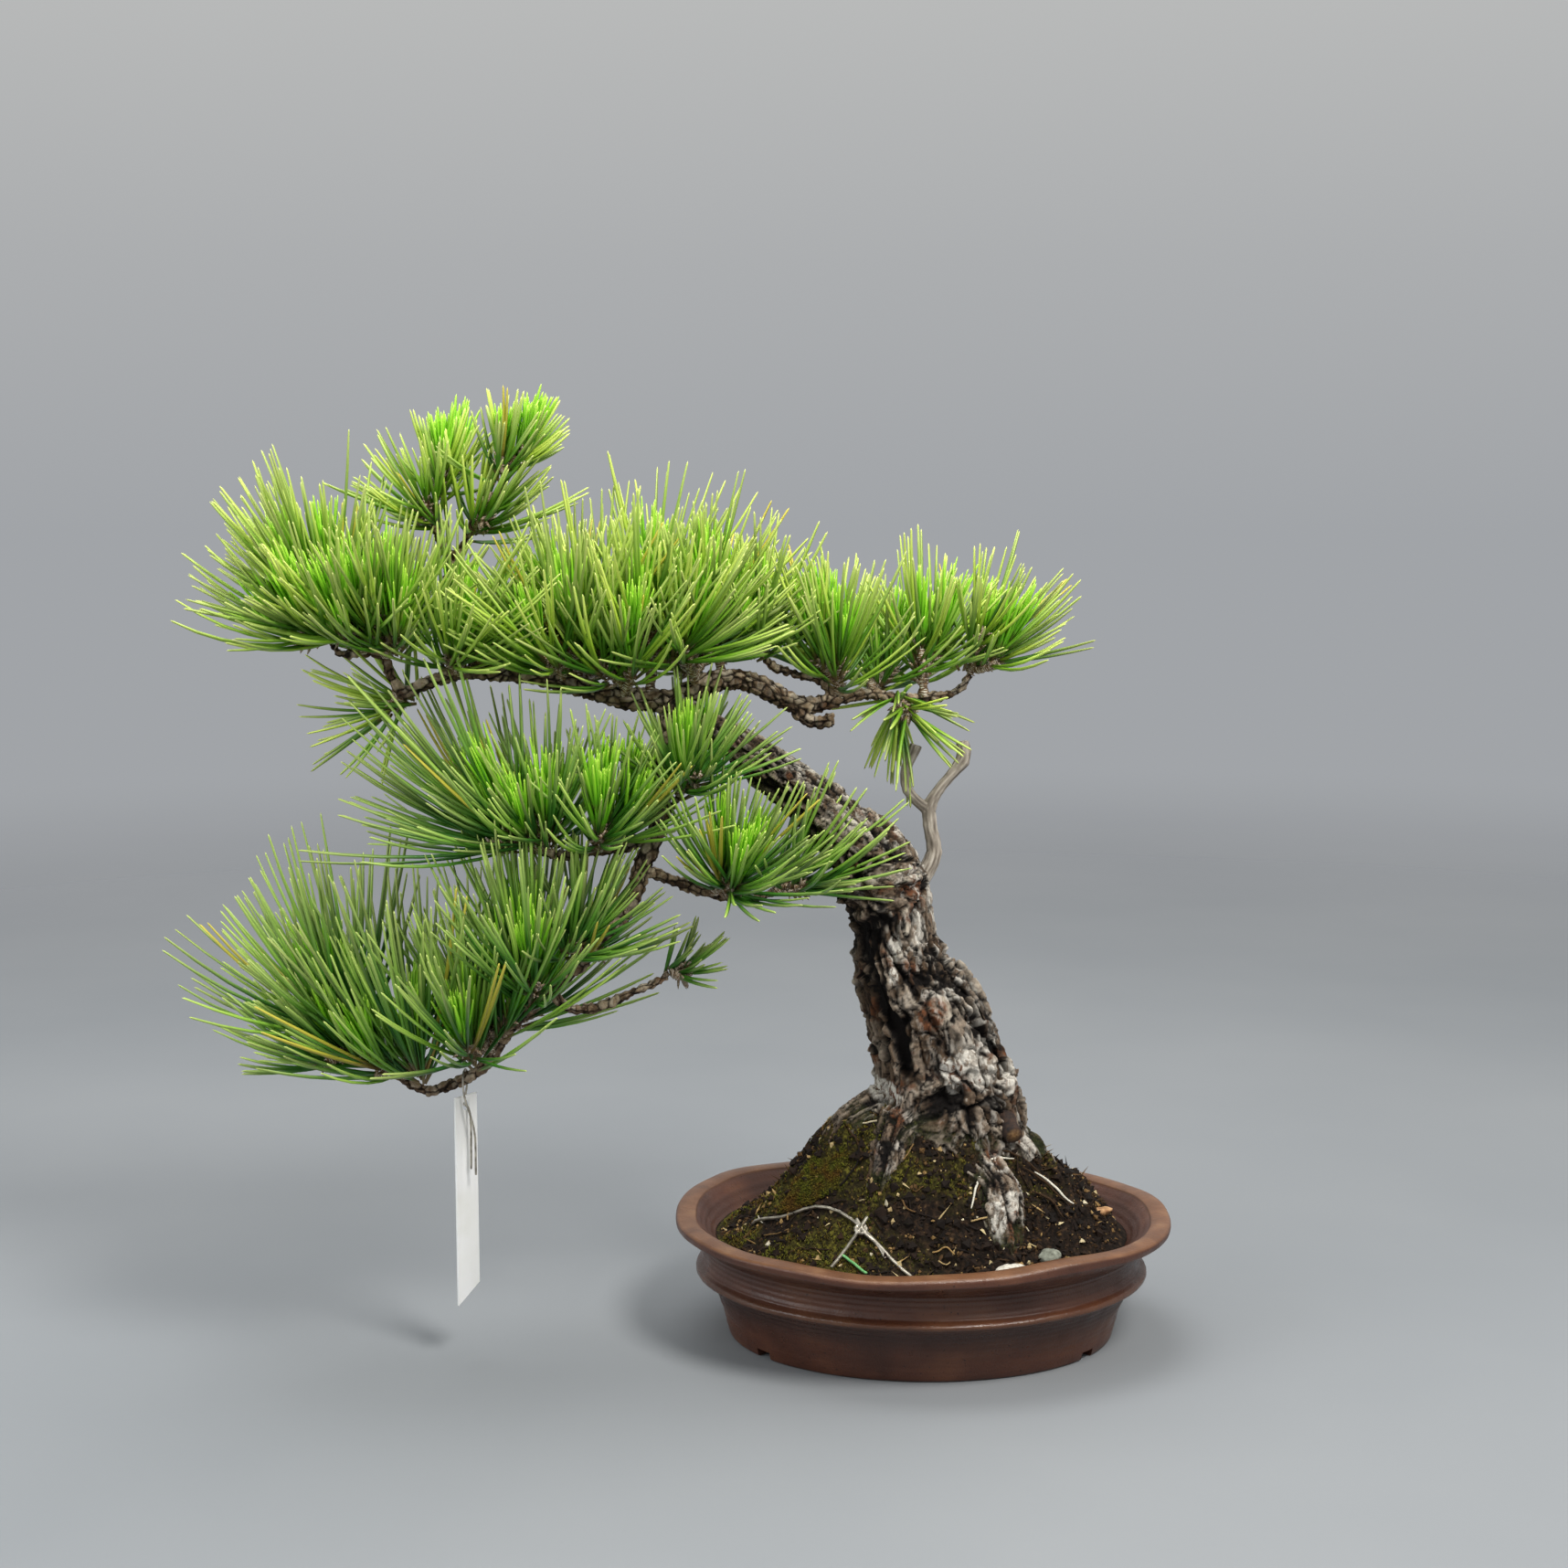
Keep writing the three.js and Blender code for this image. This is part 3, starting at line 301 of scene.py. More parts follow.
class Shader:
    """A material with one Principled shader, and short calls for the nodes that feed it."""

    def __init__(self, name, roughness=0.8, metallic=0.0, specular=0.5):
        self.material = bpy.data.materials.new(name)
        self.material.use_nodes = True
        self.tree = self.material.node_tree
        self.surface = self.tree.nodes["Principled BSDF"]
        self.surface.inputs["Roughness"].default_value = roughness
        self.surface.inputs["Metallic"].default_value = metallic
        self.surface.inputs["Specular IOR Level"].default_value = specular
        self.place = self.tree.nodes.new("ShaderNodeTexCoord").outputs["Object"]

    def link(self, output, socket):
        self.tree.links.new(output, socket)

    def node(self, kind, **inputs):
        made = self.tree.nodes.new(kind)
        for key, value in inputs.items():
            socket = made.inputs[key.replace("_", " ")]
            if isinstance(value, bpy.types.NodeSocket):
                self.link(value, socket)
            else:
                socket.default_value = value
        return made

    def stretched(self, scale, place=None):
        mapping = self.node("ShaderNodeMapping", Vector=place or self.place)
        mapping.inputs["Scale"].default_value = scale
        return mapping.outputs["Vector"]

    def noise(self, size, detail=4.0, place=None, distortion=0.0):
        """Noise whose features are size mm wide."""
        made = self.node(
            "ShaderNodeTexNoise",
            Vector=place or self.place,
            Scale=1 / (size * MM),
            Detail=detail,
            Distortion=distortion,
        )
        return made.outputs["Fac"]

    def attribute(self, name):
        made = self.tree.nodes.new("ShaderNodeAttribute")
        made.attribute_name = name
        return made.outputs["Fac"]

    def ramp(self, factor, stops):
        """Colours or greys by stops of (place, colour), where a colour is "#rrggbb" or a number."""
        made = self.node("ShaderNodeValToRGB", Fac=factor)
        set_stops(made.color_ramp.elements, stops)
        return made.outputs["Color"]

    def blotches(self, size, detail, *stops):
        """Noise whose features are size mm wide, put through a ramp."""
        return self.ramp(self.noise(size, detail), stops)

    def mix(self, factor, first, second, blend="MIX"):
        made = self.tree.nodes.new("ShaderNodeMix")
        made.data_type = "RGBA"
        made.blend_type = blend
        for index, value in ((0, factor), (6, first), (7, second)):
            if isinstance(value, bpy.types.NodeSocket):
                self.link(value, made.inputs[index])
            elif index == 0:
                made.inputs[index].default_value = value
            else:
                made.inputs[index].default_value = rgb(value)
        return made.outputs[2]

    def maths(self, operation, first, second):
        made = self.tree.nodes.new("ShaderNodeMath")
        made.operation = operation
        for index, value in enumerate((first, second)):
            if isinstance(value, bpy.types.NodeSocket):
                self.link(value, made.inputs[index])
            else:
                made.inputs[index].default_value = value
        return made.outputs[0]

    def bump(self, height, depth, strength=1.0):
        """Fine relief, depth mm deep."""
        made = self.node("ShaderNodeBump", Height=height, Strength=strength, Distance=depth * MM)
        self.link(made.outputs["Normal"], self.surface.inputs["Normal"])

    def colour(self, output):
        self.link(output, self.surface.inputs["Base Color"])

    def roughness(self, output):
        self.link(output, self.surface.inputs["Roughness"])


def set_stops(elements, stops):
    while len(elements) < len(stops):
        elements.new(0.5)
    for element, (place, colour) in zip(elements, stops):
        element.position = place
        element.color = rgb(colour)


def rgb(colour):
    """A linear colour from "#rrggbb" or a grey share."""
    if not isinstance(colour, str):
        return (colour, colour, colour, 1)
    parts = [int(colour[i : i + 2], 16) / 255 for i in (1, 3, 5)]
    linear = [c / 12.92 if c <= 0.04045 else ((c + 0.055) / 1.055) ** 2.4 for c in parts]
    return (*linear, 1)


def clay_material():
    shader = Shader("clay", roughness=0.42)
    cloudy = shader.blotches(30, 5, (0.3, "#3f2216"), (0.5, "#563121"), (0.72, "#70462d"))
    bands = shader.ramp(shader.noise(7, 4, shader.stretched((0.12, 0.12, 1.6))), [(0.35, 0.0), (0.7, 0.6)])
    cloudy = shader.mix(bands, cloudy, "#432519")
    specks = shader.blotches(1.3, 2, (0.67, 0.0), (0.71, 0.95))
    body = shader.mix(specks, cloudy, "#26130c")
    patchy = shader.blotches(8, 4, (0.3, 0.6), (0.65, 1.0))
    tan = shader.blotches(12, 5, (0.3, "#60402a"), (0.55, "#795338"), (0.75, "#8f6a4a"))
    # Paler tan on the lip's top and the bead: partly wear, partly a painted highlight.
    body = shader.mix(shader.maths("MULTIPLY", shader.attribute("wear_and_highlight"), patchy), body, tan)
    # Painted shade in the neck, the waist and inside the pot.
    body = shader.mix(shader.attribute("recess_shade"), body, "#29140d")
    shader.colour(body)
    gloss = shader.blotches(10, 5, (0.3, 0.24), (0.7, 0.5))
    fired = shader.mix(shader.attribute("wear_and_highlight"), gloss, 0.36)
    shader.roughness(shader.mix(shader.maths("MULTIPLY", shader.attribute("bead"), patchy), fired, 0.17))
    grit = shader.maths("ADD", shader.noise(0.7, 4), shader.noise(4, 3))
    shader.bump(grit, 0.3, 0.6)
    return shader.material


def plain_material(name, first, second, size, roughness, relief=0.1):
    """A material that drifts between two colours, with a fine grain."""
    shader = Shader(name, roughness)
    shader.colour(shader.blotches(size, 5, (0.35, first), (0.65, second)))
    shader.roughness(shader.blotches(size / 2, 3, (0.3, roughness - 0.08), (0.7, roughness + 0.08)))
    shader.bump(shader.noise(size / 6, 3), relief, 0.6)
    return shader.material


def sawn_root_material():
    """Dark old bark with paler wood in the middle of the cut."""
    shader = Shader("sawn_root", roughness=0.8)
    side = shader.blotches(2.5, 4, (0.35, "#120a07"), (0.65, "#3b271b"))
    wood = shader.blotches(1, 3, (0.35, "#75512f"), (0.65, "#b08a5a"))
    shader.colour(shader.mix(shader.attribute("cut"), side, wood))
    shader.bump(shader.noise(0.8, 3), 0.5, 0.6)
    return shader.material


def soil_material():
    shader = Shader("soil", roughness=0.95, specular=0.2)
    dark = shader.blotches(2.0, 6, (0.3, "#0b0705"), (0.5, "#1b130d"), (0.66, "#33251a"), (0.8, "#6a5238"))
    green = shader.blotches(1.5, 5, (0.3, "#120f05"), (0.52, "#383311"), (0.7, "#6b6625"))
    shader.colour(shader.mix(shader.attribute("mossy"), dark, green))
    shader.bump(shader.noise(0.8, 5), 0.6, 0.9)
    return shader.material


def grain_material():
    shader = Shader("soil_grains", roughness=0.9, specular=0.3)
    tone = shader.attribute("tone")
    stops = [
        (0.0, "#120b06"),
        (0.35, "#28190e"),
        (0.58, "#453019"),
        (0.74, "#745733"),
        (0.86, "#b08f5a"),
        (0.95, "#dcc896"),
        (1.0, "#f0ead8"),
    ]
    uneven = shader.blotches(0.6, 4, (0.3, 0.45), (0.7, 1.0))
    shader.colour(shader.mix(0.8, shader.ramp(tone, stops), uneven, "MULTIPLY"))
    shader.bump(shader.noise(0.4, 3), 0.15, 0.6)
    return shader.material


def moss_material():
    shader = Shader("moss", roughness=0.9, specular=0.2)
    tone = shader.attribute("tone")
    green = shader.ramp(tone, [(0.0, "#141305"), (0.4, "#454711"), (0.75, "#787a22"), (1.0, "#b2ae4a")])
    rust = shader.blotches(7, 4, (0.42, 0.0), (0.6, 0.8))
    brown = shader.ramp(tone, [(0.0, "#1a0f05"), (0.5, "#5c3b14"), (1.0, "#9c7434")])
    shader.colour(shader.mix(rust, green, brown))
    shader.bump(shader.noise(0.5, 4), 0.3, 0.8)
    return shader.material


def bark_material(name, plates, crevice_shade, patch, lichen_and_highlight, patch_share, lichen_share):
    """Bark by its mesh attributes: tone of the plates with a painted top light, painted shade in the
    crevices, lichens with a painted highlight on the lit sides, and moss.
    """
    shader = Shader(name, roughness=0.88, specular=0.25)
    # The tone of the plates; on the branches it carries a painted top light.
    tone_and_top_light = shader.ramp(shader.attribute("tone_and_top_light"), plates)
    streaks = shader.ramp(shader.noise(1.5, 6, distortion=0.4), [(0.3, 0.25), (0.7, 1.0)])
    body = shader.mix(0.6, tone_and_top_light, shader.mix(1.0, tone_and_top_light, streaks, "MULTIPLY"))
    warm = shader.blotches(10, 4, (patch_share, 0.0), (patch_share + 0.09, 0.85))
    warm = shader.maths("MAXIMUM", warm, shader.attribute("warm"))
    body = shader.mix(warm, body, shader.mix(0.5, patch, shader.mix(1.0, patch, streaks, "MULTIPLY")))
    tall = shader.stretched((1.0, 1.0, 0.55))
    # The pale crust: lichens in patches, weighted by a mask towards the right and upper sides where the light
    # falls, so partly a painted highlight.
    crust = shader.ramp(shader.noise(6.0, 6, tall, 1.0), [(0.5, 0.0), (0.6, 1.0)])
    crust = shader.maths("MULTIPLY", crust, shader.attribute("lichen_and_highlight"))
    crust = shader.maths("MULTIPLY", crust, lichen_share)
    scaly = shader.ramp(shader.noise(2.2, 6, tall, 0.8), [(0.4, 0.0), (0.52, 0.95)])
    crust = shader.maths("MAXIMUM", crust, shader.maths("MULTIPLY", scaly, shader.attribute("crust")))
    body = shader.mix(crust, body, lichen_and_highlight)
    # Painted shade in the crevices.
    body = shader.mix(shader.attribute("crevice_shade"), body, crevice_shade)
    green = shader.blotches(1.2, 5, (0.3, "#10120a"), (0.55, "#2a2f12"), (0.75, "#4d4f20"))
    body = shader.mix(shader.attribute("mossy"), body, green)
    shader.colour(body)
    shader.bump(shader.maths("ADD", shader.noise(1.1, 6), shader.noise(0.4, 3)), 0.5, 0.9)
    return shader.material


def dead_wood_material():
    shader = Shader("dead_wood", roughness=0.8, specular=0.3)
    grain = shader.attribute("grain")
    pale = shader.ramp(grain, [(0.15, "#4c443b"), (0.4, "#857b6f"), (0.65, "#b3a99b"), (0.9, "#d6cec1")])
    weathered = shader.blotches(6, 5, (0.45, 0.0), (0.75, 0.7))
    shader.colour(shader.mix(weathered, pale, "#7d7369"))
    shader.bump(shader.noise(0.7, 5), 0.2, 0.6)
    return shader.material


# The strips of the needle map: what each range of its first coordinate stands for.
OLD, FRESH, YELLOW, STEM = (0.01, 0.55), (0.57, 0.76), (0.78, 0.86), (0.88, 0.99)


def needle_material(name, deep, mid, bright, tip):
    """Needles and shoots by their own map: u is the kind and shade, v runs from root to tip."""
    shader = Shader(name, roughness=0.42, specular=0.45)
    map_node = shader.tree.nodes.new("ShaderNodeUVMap")
    map_node.uv_map = "OFBake"
    split = shader.node("ShaderNodeSeparateXYZ", Vector=map_node.outputs["UV"])
    u, v = split.outputs["X"], split.outputs["Y"]
    shade = shader.ramp(u, [(OLD[0], deep), (0.3, mid), (OLD[1], bright)])
    foot = shader.ramp(v, [(0.0, 1.0), (0.05, 0.85), (0.09, 0.0)])
    # Painted shade: the old needles darken towards their bases, inside the tuft.
    base_shade = shader.ramp(v, [(0.0, 0.75), (0.5, 0.0)])
    glow = shader.ramp(v, [(0.35, 0.0), (0.8, 0.5), (0.97, 0.95)])
    old = shader.mix(base_shade, shade, deep)
    old = shader.mix(glow, old, tip)
    old = shader.mix(foot, old, "#8d7650")
    fresh = shader.ramp(v, [(0.0, "#a9b45c"), (0.2, "#6cb81e"), (0.6, "#9ae032"), (1.0, "#d2f560")])
    yellow = shader.ramp(v, [(0.0, "#8a6a3c"), (0.3, "#b7b03c"), (1.0, "#e0d257")])
    grid = shader.node("ShaderNodeCombineXYZ", X=u, Y=v)
    flecks = shader.node("ShaderNodeTexNoise", Vector=grid.outputs[0], Scale=46.0, Detail=3.0)
    bark = shader.ramp(
        flecks.outputs["Fac"],
        [(0.34, "#2e2016"), (0.45, "#6e5238"), (0.53, "#96764f"), (0.58, "#e9e2d2")],
    )
    body = shader.mix(shader.maths("GREATER_THAN", u, 0.56), old, fresh)
    body = shader.mix(shader.maths("GREATER_THAN", u, 0.77), body, yellow)
    body = shader.mix(shader.maths("GREATER_THAN", u, 0.87), body, bark)
    shader.colour(body)
    return shader.material


# ---- Floor and light ----

FLOOR_REACH, FLOOR_DROP = 2.3, 0.0002
FLOOR_SIDES = 96
FADE_START, FADE_END = 0.5, 2.2  # how far out the floor fades into the backdrop


def floor_material():
    shader = Shader("floor", roughness=0.75, specular=0.3)
    grey = shader.blotches(420, 4, (0.3, "#85898d"), (0.7, "#8f9295"))
    shader.colour(grey)
    shader.bump(shader.noise(2.5, 3), 0.15, 0.25)
    far = shader.node("ShaderNodeVectorMath", Vector=shader.place)
    far.operation = "LENGTH"
    fade = shader.tree.nodes.new("ShaderNodeMapRange")
    fade.interpolation_type = "SMOOTHSTEP"
    shader.link(far.outputs["Value"], fade.inputs["Value"])
    fade.inputs["From Min"].default_value = FADE_START
    fade.inputs["From Max"].default_value = FADE_END
    fade.inputs["To Min"].default_value = 1.0
    fade.inputs["To Max"].default_value = 0.0
    shader.link(fade.outputs["Result"], shader.surface.inputs["Alpha"])
    return shader.material


def make_floor():
    mesh = bpy.data.meshes.new("floor")
    turns = [TURN * k / FLOOR_SIDES for k in range(FLOOR_SIDES)]
    ring = [(FLOOR_REACH * math.cos(turn), FLOOR_REACH * math.sin(turn), 0) for turn in turns]
    mesh.from_pydata(ring, [], [tuple(range(FLOOR_SIDES))])
    mesh.materials.append(floor_material())
    floor = bpy.data.objects.new("floor", mesh)
    floor.location = (0, 0, -FLOOR_DROP)
    bpy.context.scene.collection.objects.link(floor)


def make_light(name, place, aim, size, power, colour):
    data = bpy.data.lights.new(name, "AREA")
    data.shape = "DISK"
    data.size = size
    data.energy = power
    data.color = colour
    light = bpy.data.objects.new(name, data)
    light.location = place
    way = np.array(aim) - np.array(place)
    yaw = math.atan2(way[1], way[0]) - math.pi / 2
    pitch = math.atan2(way[2], math.hypot(way[0], way[1]))
    light.rotation_euler = (math.pi / 2 + pitch, 0, yaw)
    bpy.context.scene.collection.objects.link(light)


def make_world():
    world = bpy.data.worlds.new("studio")
    bpy.context.scene.world = world
    world.use_nodes = True
    nodes, links = world.node_tree.nodes, world.node_tree.links
    way = nodes.new("ShaderNodeTexCoord")
    split = nodes.new("ShaderNodeSeparateXYZ")
    links.new(way.outputs["Generated"], split.inputs[0])
    ramp = nodes.new("ShaderNodeValToRGB")
    links.new(split.outputs["Z"], ramp.inputs["Fac"])
    stops = [(0.0, "#a9acb0"), (0.12, "#b4b6b8"), (0.27, "#c6c7c6")]
    set_stops(ramp.color_ramp.elements, stops)
    background = nodes["Background"]
    links.new(ramp.outputs["Color"], background.inputs["Color"])
    background.inputs["Strength"].default_value = 0.9


def make_stage():
    make_floor()
    make_world()
    aim = (-0.06, 0, 0.2)
    make_light("key", (0.55, -0.75, 1.35), aim, 0.5, 21, (1.0, 0.98, 0.94))
    make_light("top", (-0.25, 0.15, 1.5), aim, 0.9, 12, (1.0, 1.0, 1.0))
    make_light("fill", (-1.2, -0.6, 0.7), aim, 0.9, 6, (0.93, 0.96, 1.0))
    bpy.context.scene.view_settings.view_transform = "Standard"


# ---- Pot ----


def pot_row(height, share, inset=0.0):
    """A point on the pot's outline: share 0 is the rim and share 1 is the foot."""
    half_length = (POT_LENGTH + (FOOT_LENGTH - POT_LENGTH) * share) / 2 - inset
    half_depth = (POT_DEPTH + (FOOT_DEPTH - POT_DEPTH) * share) / 2 - inset
    return [half_length, half_depth, height]


POT_OUTSIDE = [
    pot_row(0, 1, 1.2),
    pot_row(1.2, 0.99),
    pot_row(9.6, 0.9),
    pot_row(18.7, 0.74),
    pot_row(23.4, 0.61),
    pot_row(25, 0.56),
    pot_row(25.9, 0.41),
    pot_row(27.1, 0.36),
    pot_row(28.4, 0.4),
    pot_row(30, 0.49),
    pot_row(34, 0.51),
    pot_row(38.5, 0.46),
    pot_row(42, 0.3),
    pot_row(44.7, 0.1),
    pot_row(46.3, 0.01),
    pot_row(48.4, -0.01),
    pot_row(49.6, 0, 0.5),
    pot_row(50, 0, 2),
    pot_row(50.2, 0, 5),
    pot_row(49.7, 0, 7.4),
    pot_row(48.8, 0, 8.2),
]
POT_INSIDE = [
    pot_row(47, 0.1, WALL),
    pot_row(SOIL_LEVEL, 0.36, WALL),
    pot_row(38, 0.46, WALL),
    pot_row(27.5, 0.52, WALL),
    pot_row(17.8, 0.72, WALL),
    pot_row(POT_FLOOR, 0.94, WALL + 1.5),
]


def drain_cutters(side):
    """Cutters for a drainage hole and the shallow groove that leads from it to the foot's edge."""
    hole = bmesh.new()
    radius = HOLE_RADIUS * MM
    bmesh.ops.create_cone(hole, cap_ends=True, segments=40, radius1=radius, radius2=radius, depth=0.04)
    groove = bmesh.new()
    bmesh.ops.create_cube(groove, size=1)
    for corner in groove.verts:
        x, y, z = corner.co
        corner.co = (x * GROOVE_WIDTH * MM, (y - 0.5) * FOOT_DEPTH * MM, z * 2 * GROOVE_DEPTH * MM)
    cutters = [object_of(hole, "hole"), object_of(groove, "groove")]
    cutters[1].rotation_euler = (0, 0, side * GROOVE_TURN)
    for cutter in cutters:
        cutter.location = (side * HOLE_SPACING / 2 * MM, 0, 0)
    return cutters


POT_SEGMENTS = 240
OUTLINE_STEPS = 10  # in each span of the pot's outline

# How the lip swells out or draws in: [where round it, how far, by what share].
LIP_WAVES = [(-0.52, 0.3, 0.034), (-1.25, 0.34, -0.016), (-2.05, 0.4, 0.014), (2.3, 0.5, 0.012)]


def wave_lip(points, turn, high):
    """A lip made by hand: it swells out, draws in, rises and dips."""
    swell = 0.004 * np.sin(2 * turn + 0.7) + 0.004 * np.sin(5 * turn + 1.9)
    for middle, reach, growth in LIP_WAVES:
        swell += growth * np.exp(-(((turn - middle) / reach) ** 2))
    points[:, :2] *= (1 + high * swell)[:, None]
    rise = 0.9 * np.sin(2 * turn + 2.4) + 0.6 * np.sin(5 * turn + 0.5) + 0.3 * np.sin(11 * turn)
    points[:, 2] += high * rise


def roughen_wall(points, turn, height):
    """Throwing rings, lumps and tool marks on the pot's sides."""
    outward = unit(points * [1 / POT_LENGTH**2, 1 / POT_DEPTH**2, 0])
    beside = smooth_step(1.5, 6, height) * (1 - smooth_step(44, 49, height))
    ripple = 0.16 * np.sin(height * TURN / 2.3 + 0.6 * np.sin(3 * turn)) * beside
    lumps = 0.35 * layered_noise(points * [1, 1, 2.5], 16, 3, seed=5)
    chatter = 0.1 * layered_noise(points * [1, 1, 3], 2.2, 2, seed=9)
    points += outward * (ripple + lumps * smooth_step(0.5, 5, height) + chatter * beside)[:, None]
    points[:, 2] = np.maximum(points[:, 2], 0)


def clay_wear_and_light(height, outside):
    """Where the clay is pale from wear with a painted highlight on the lip's top and the bead, darker with
    painted shade in the neck, the waist and inside the pot, and glossy on the bead.
    """
    bead = hump(height, 27.4, 1.2) * outside
    # Painted shade: darker in the neck and the waist outside, and inside the pot below the lip.
    hollow_shade = 0.5 * hump(height, 38.5, 4.5) + 0.75 * hump(height, 20.5, 5.5)
    return {
        # The lip's top and the bead are painted paler: partly wear, partly a painted highlight.
        "wear_and_highlight": np.clip(smooth_step(48.6, 49.7, height) + 0.38 * bead, 0, 1),
        "recess_shade": np.where(outside, np.clip(hollow_shade, 0, 0.8), 0.3 * (height < 46)),
        "bead": bead,
    }


def cut_drain_holes(body):
    """The body's mesh with both drainage holes and grooves cut out. The body and cutters are used up."""
    cutters = drain_cutters(-1) + drain_cutters(1)
    for cutter in cutters:
        cut = body.modifiers.new("cut", "BOOLEAN")
        cut.operation = "DIFFERENCE"
        cut.solver = "EXACT"
        cut.object = cutter
    made = evaluated_mesh(body)
    for worker in (body, *cutters):
        bpy.data.objects.remove(worker)
    made.materials.clear()
    return made


def make_pot():
    """The outline lofted round the oval, then made uneven by hand and cut for drainage."""
    path = spline([*POT_OUTSIDE, *POT_INSIDE], OUTLINE_STEPS)
    under = [[0, 0, 0], *(np.array(path[0]) * [k, k, 1] for k in (0.2, 0.45, 0.7, 0.88))]
    within = [np.array(path[-1]) * [k, k, 1] for k in (0.9, 0.7, 0.45, 0.2)]
    rows = [*under, *path, *within, [0, 0, POT_FLOOR]]
    points, faces = oval_loft([list(row) for row in rows], POT_SEGMENTS)
    turn = np.arctan2(points[:, 1] / POT_DEPTH, points[:, 0] / POT_LENGTH)
    height = points[:, 2].copy()
    wave_lip(points, turn, smooth_step(39, 50, height))
    roughen_wall(points, turn, height)
    outer_rings = len(under) - 1 + OUTLINE_STEPS * (len(POT_OUTSIDE) - 1)
    outside = np.arange(len(points)) < POT_SEGMENTS * outer_rings
    mesh = bpy.data.meshes.new("pot_body")
    mesh.from_pydata((points * MM).tolist(), [], faces)
    add_attributes(mesh, clay_wear_and_light(height, outside))
    body = bpy.data.objects.new("pot_body", mesh)
    bpy.context.scene.collection.objects.link(body)
    pot = finish_piece("clay_pot", cut_drain_holes(body), clay_material(), ["pot"])
    pot.data.set_sharp_from_angle(angle=math.radians(40))


# ---- Soil, moss and what lies on them ----

SOIL_SEGMENTS, MOUND_RINGS = 330, 96
GRIT, CRUMBS, CLUMPS = 6800, 420, 1500
CUSHION_SPRIGS, FILM_SPRIGS = 2200, 17000
DRY_BITS = 150

def mound_height(u, v):
    """The mound's height where u and v are shares of the soil's half length and half depth."""
    out = np.minimum(np.hypot(u, v), 1)
    bell = 0.5 + 0.5 * np.cos(math.pi * np.clip((out - MOUND_CROWN) / (1 - MOUND_CROWN), 0, 1))
    fuller = 0.7 * smooth_step(0.1, 0.8, u)
    rise = MOUND_RISE * (bell + fuller * (1 - out**2.2 - bell))
    lumps = 1.3 * np.sin(5 * u + 1) * np.cos(6 * v) * out * (1 - out**4)
    return SOIL_LEVEL + rise + lumps


def on_mound(places, lift=0.0):
    """Points in mm from rows of [u, v]."""
    places = np.atleast_2d(places)
    flat = places[:, :2] * SOIL_HALF
    return np.column_stack([flat, mound_height(places[:, 0], places[:, 1]) + lift])


def mossiness(points):
    """How mossy the mound is at each point: most on the left and towards the crown."""
    side = 1 - smooth_step(-0.45, 0.2, points[:, 0] / SOIL_HALF[0])
    high = smooth_step(58, 78, points[:, 2])
    patch = smooth_step(-0.3, 0.2, layered_noise(points, 15, 3, seed=21))
    return np.clip(patch * np.maximum(0.95 * side, high), 0, 1)


# Where the tie-down wire and its tails lie on the mound: rows of [u, v].
WIRE_PLACES = [
    [(-0.86, -0.1), (-0.67, -0.34), (-0.51, -0.46), (-0.4, -0.56), (-0.31, -0.66)],
    [(-0.33, -0.62), (-0.24, -0.74), (-0.2, -0.8)],
    [(-0.28, -0.63), (-0.4, -0.74), (-0.45, -0.78)],
    [(-0.31, -0.66), (-0.15, -0.84), (-0.08, -0.92)],
]


# Clumps of old root and moss in the mound: [u, v, radius, height].
LUMPS = [
    (-0.42, -0.2, 9, 5.0),
    (-0.6, -0.1, 8, 3.5),
    (-0.24, -0.4, 7, 3.0),
    (0.2, -0.38, 6, 3.0),
    (0.66, -0.2, 7, 3.0),
    (0.8, 0.1, 7, 2.5),
    (-0.5, 0.4, 11, 4.0),
    (0.3, 0.62, 10, 4.0),
    (-0.1, 0.6, 9, 3.0),
]


def clods(points):
    """The relief of the mound's surface: lower beside the tie-down wire, which lies on it."""
    lumps = 2.0 * layered_noise(points, 15, 3, seed=2) + 0.8
    first, second, big, _ = cells_of(points / 8.5, seed=12)
    lumps += 4.4 * (big - 0.45) * smooth_step(0.0, 0.22, second - first)
    first, second, middling, _ = cells_of(points / 4.6 + 3, seed=19)
    lumps += 2.2 * (middling - 0.5) * smooth_step(0.0, 0.25, second - first)
    ragged = 1 + 0.25 * layered_noise(points, 4, 2, seed=14)
    for u, v, reach, rise in LUMPS:
        away = np.hypot(points[:, 0] - u * SOIL_HALF[0], points[:, 1] - v * SOIL_HALF[1]) / reach
        lumps += rise * (1 - smooth_step(0.55, 1.0, away * ragged))
    gap = np.full(len(points), 99.0)
    for line in WIRE_PLACES:
        for place in spline(on_mound(line), 3):
            gap = np.minimum(gap, np.hypot(*(points[:, :2] - place[:2]).T))
    lumps *= smooth_step(1, 14, gap)
    _, _, number, _ = cells_of(points / 2.9, seed=3)
    _, _, small, _ = cells_of(points / 1.5, seed=4)
    return lumps + 1.3 * (number - 0.5) + 0.7 * (small - 0.5) + 0.4 * layered_noise(points, 1.7, 2, seed=8)


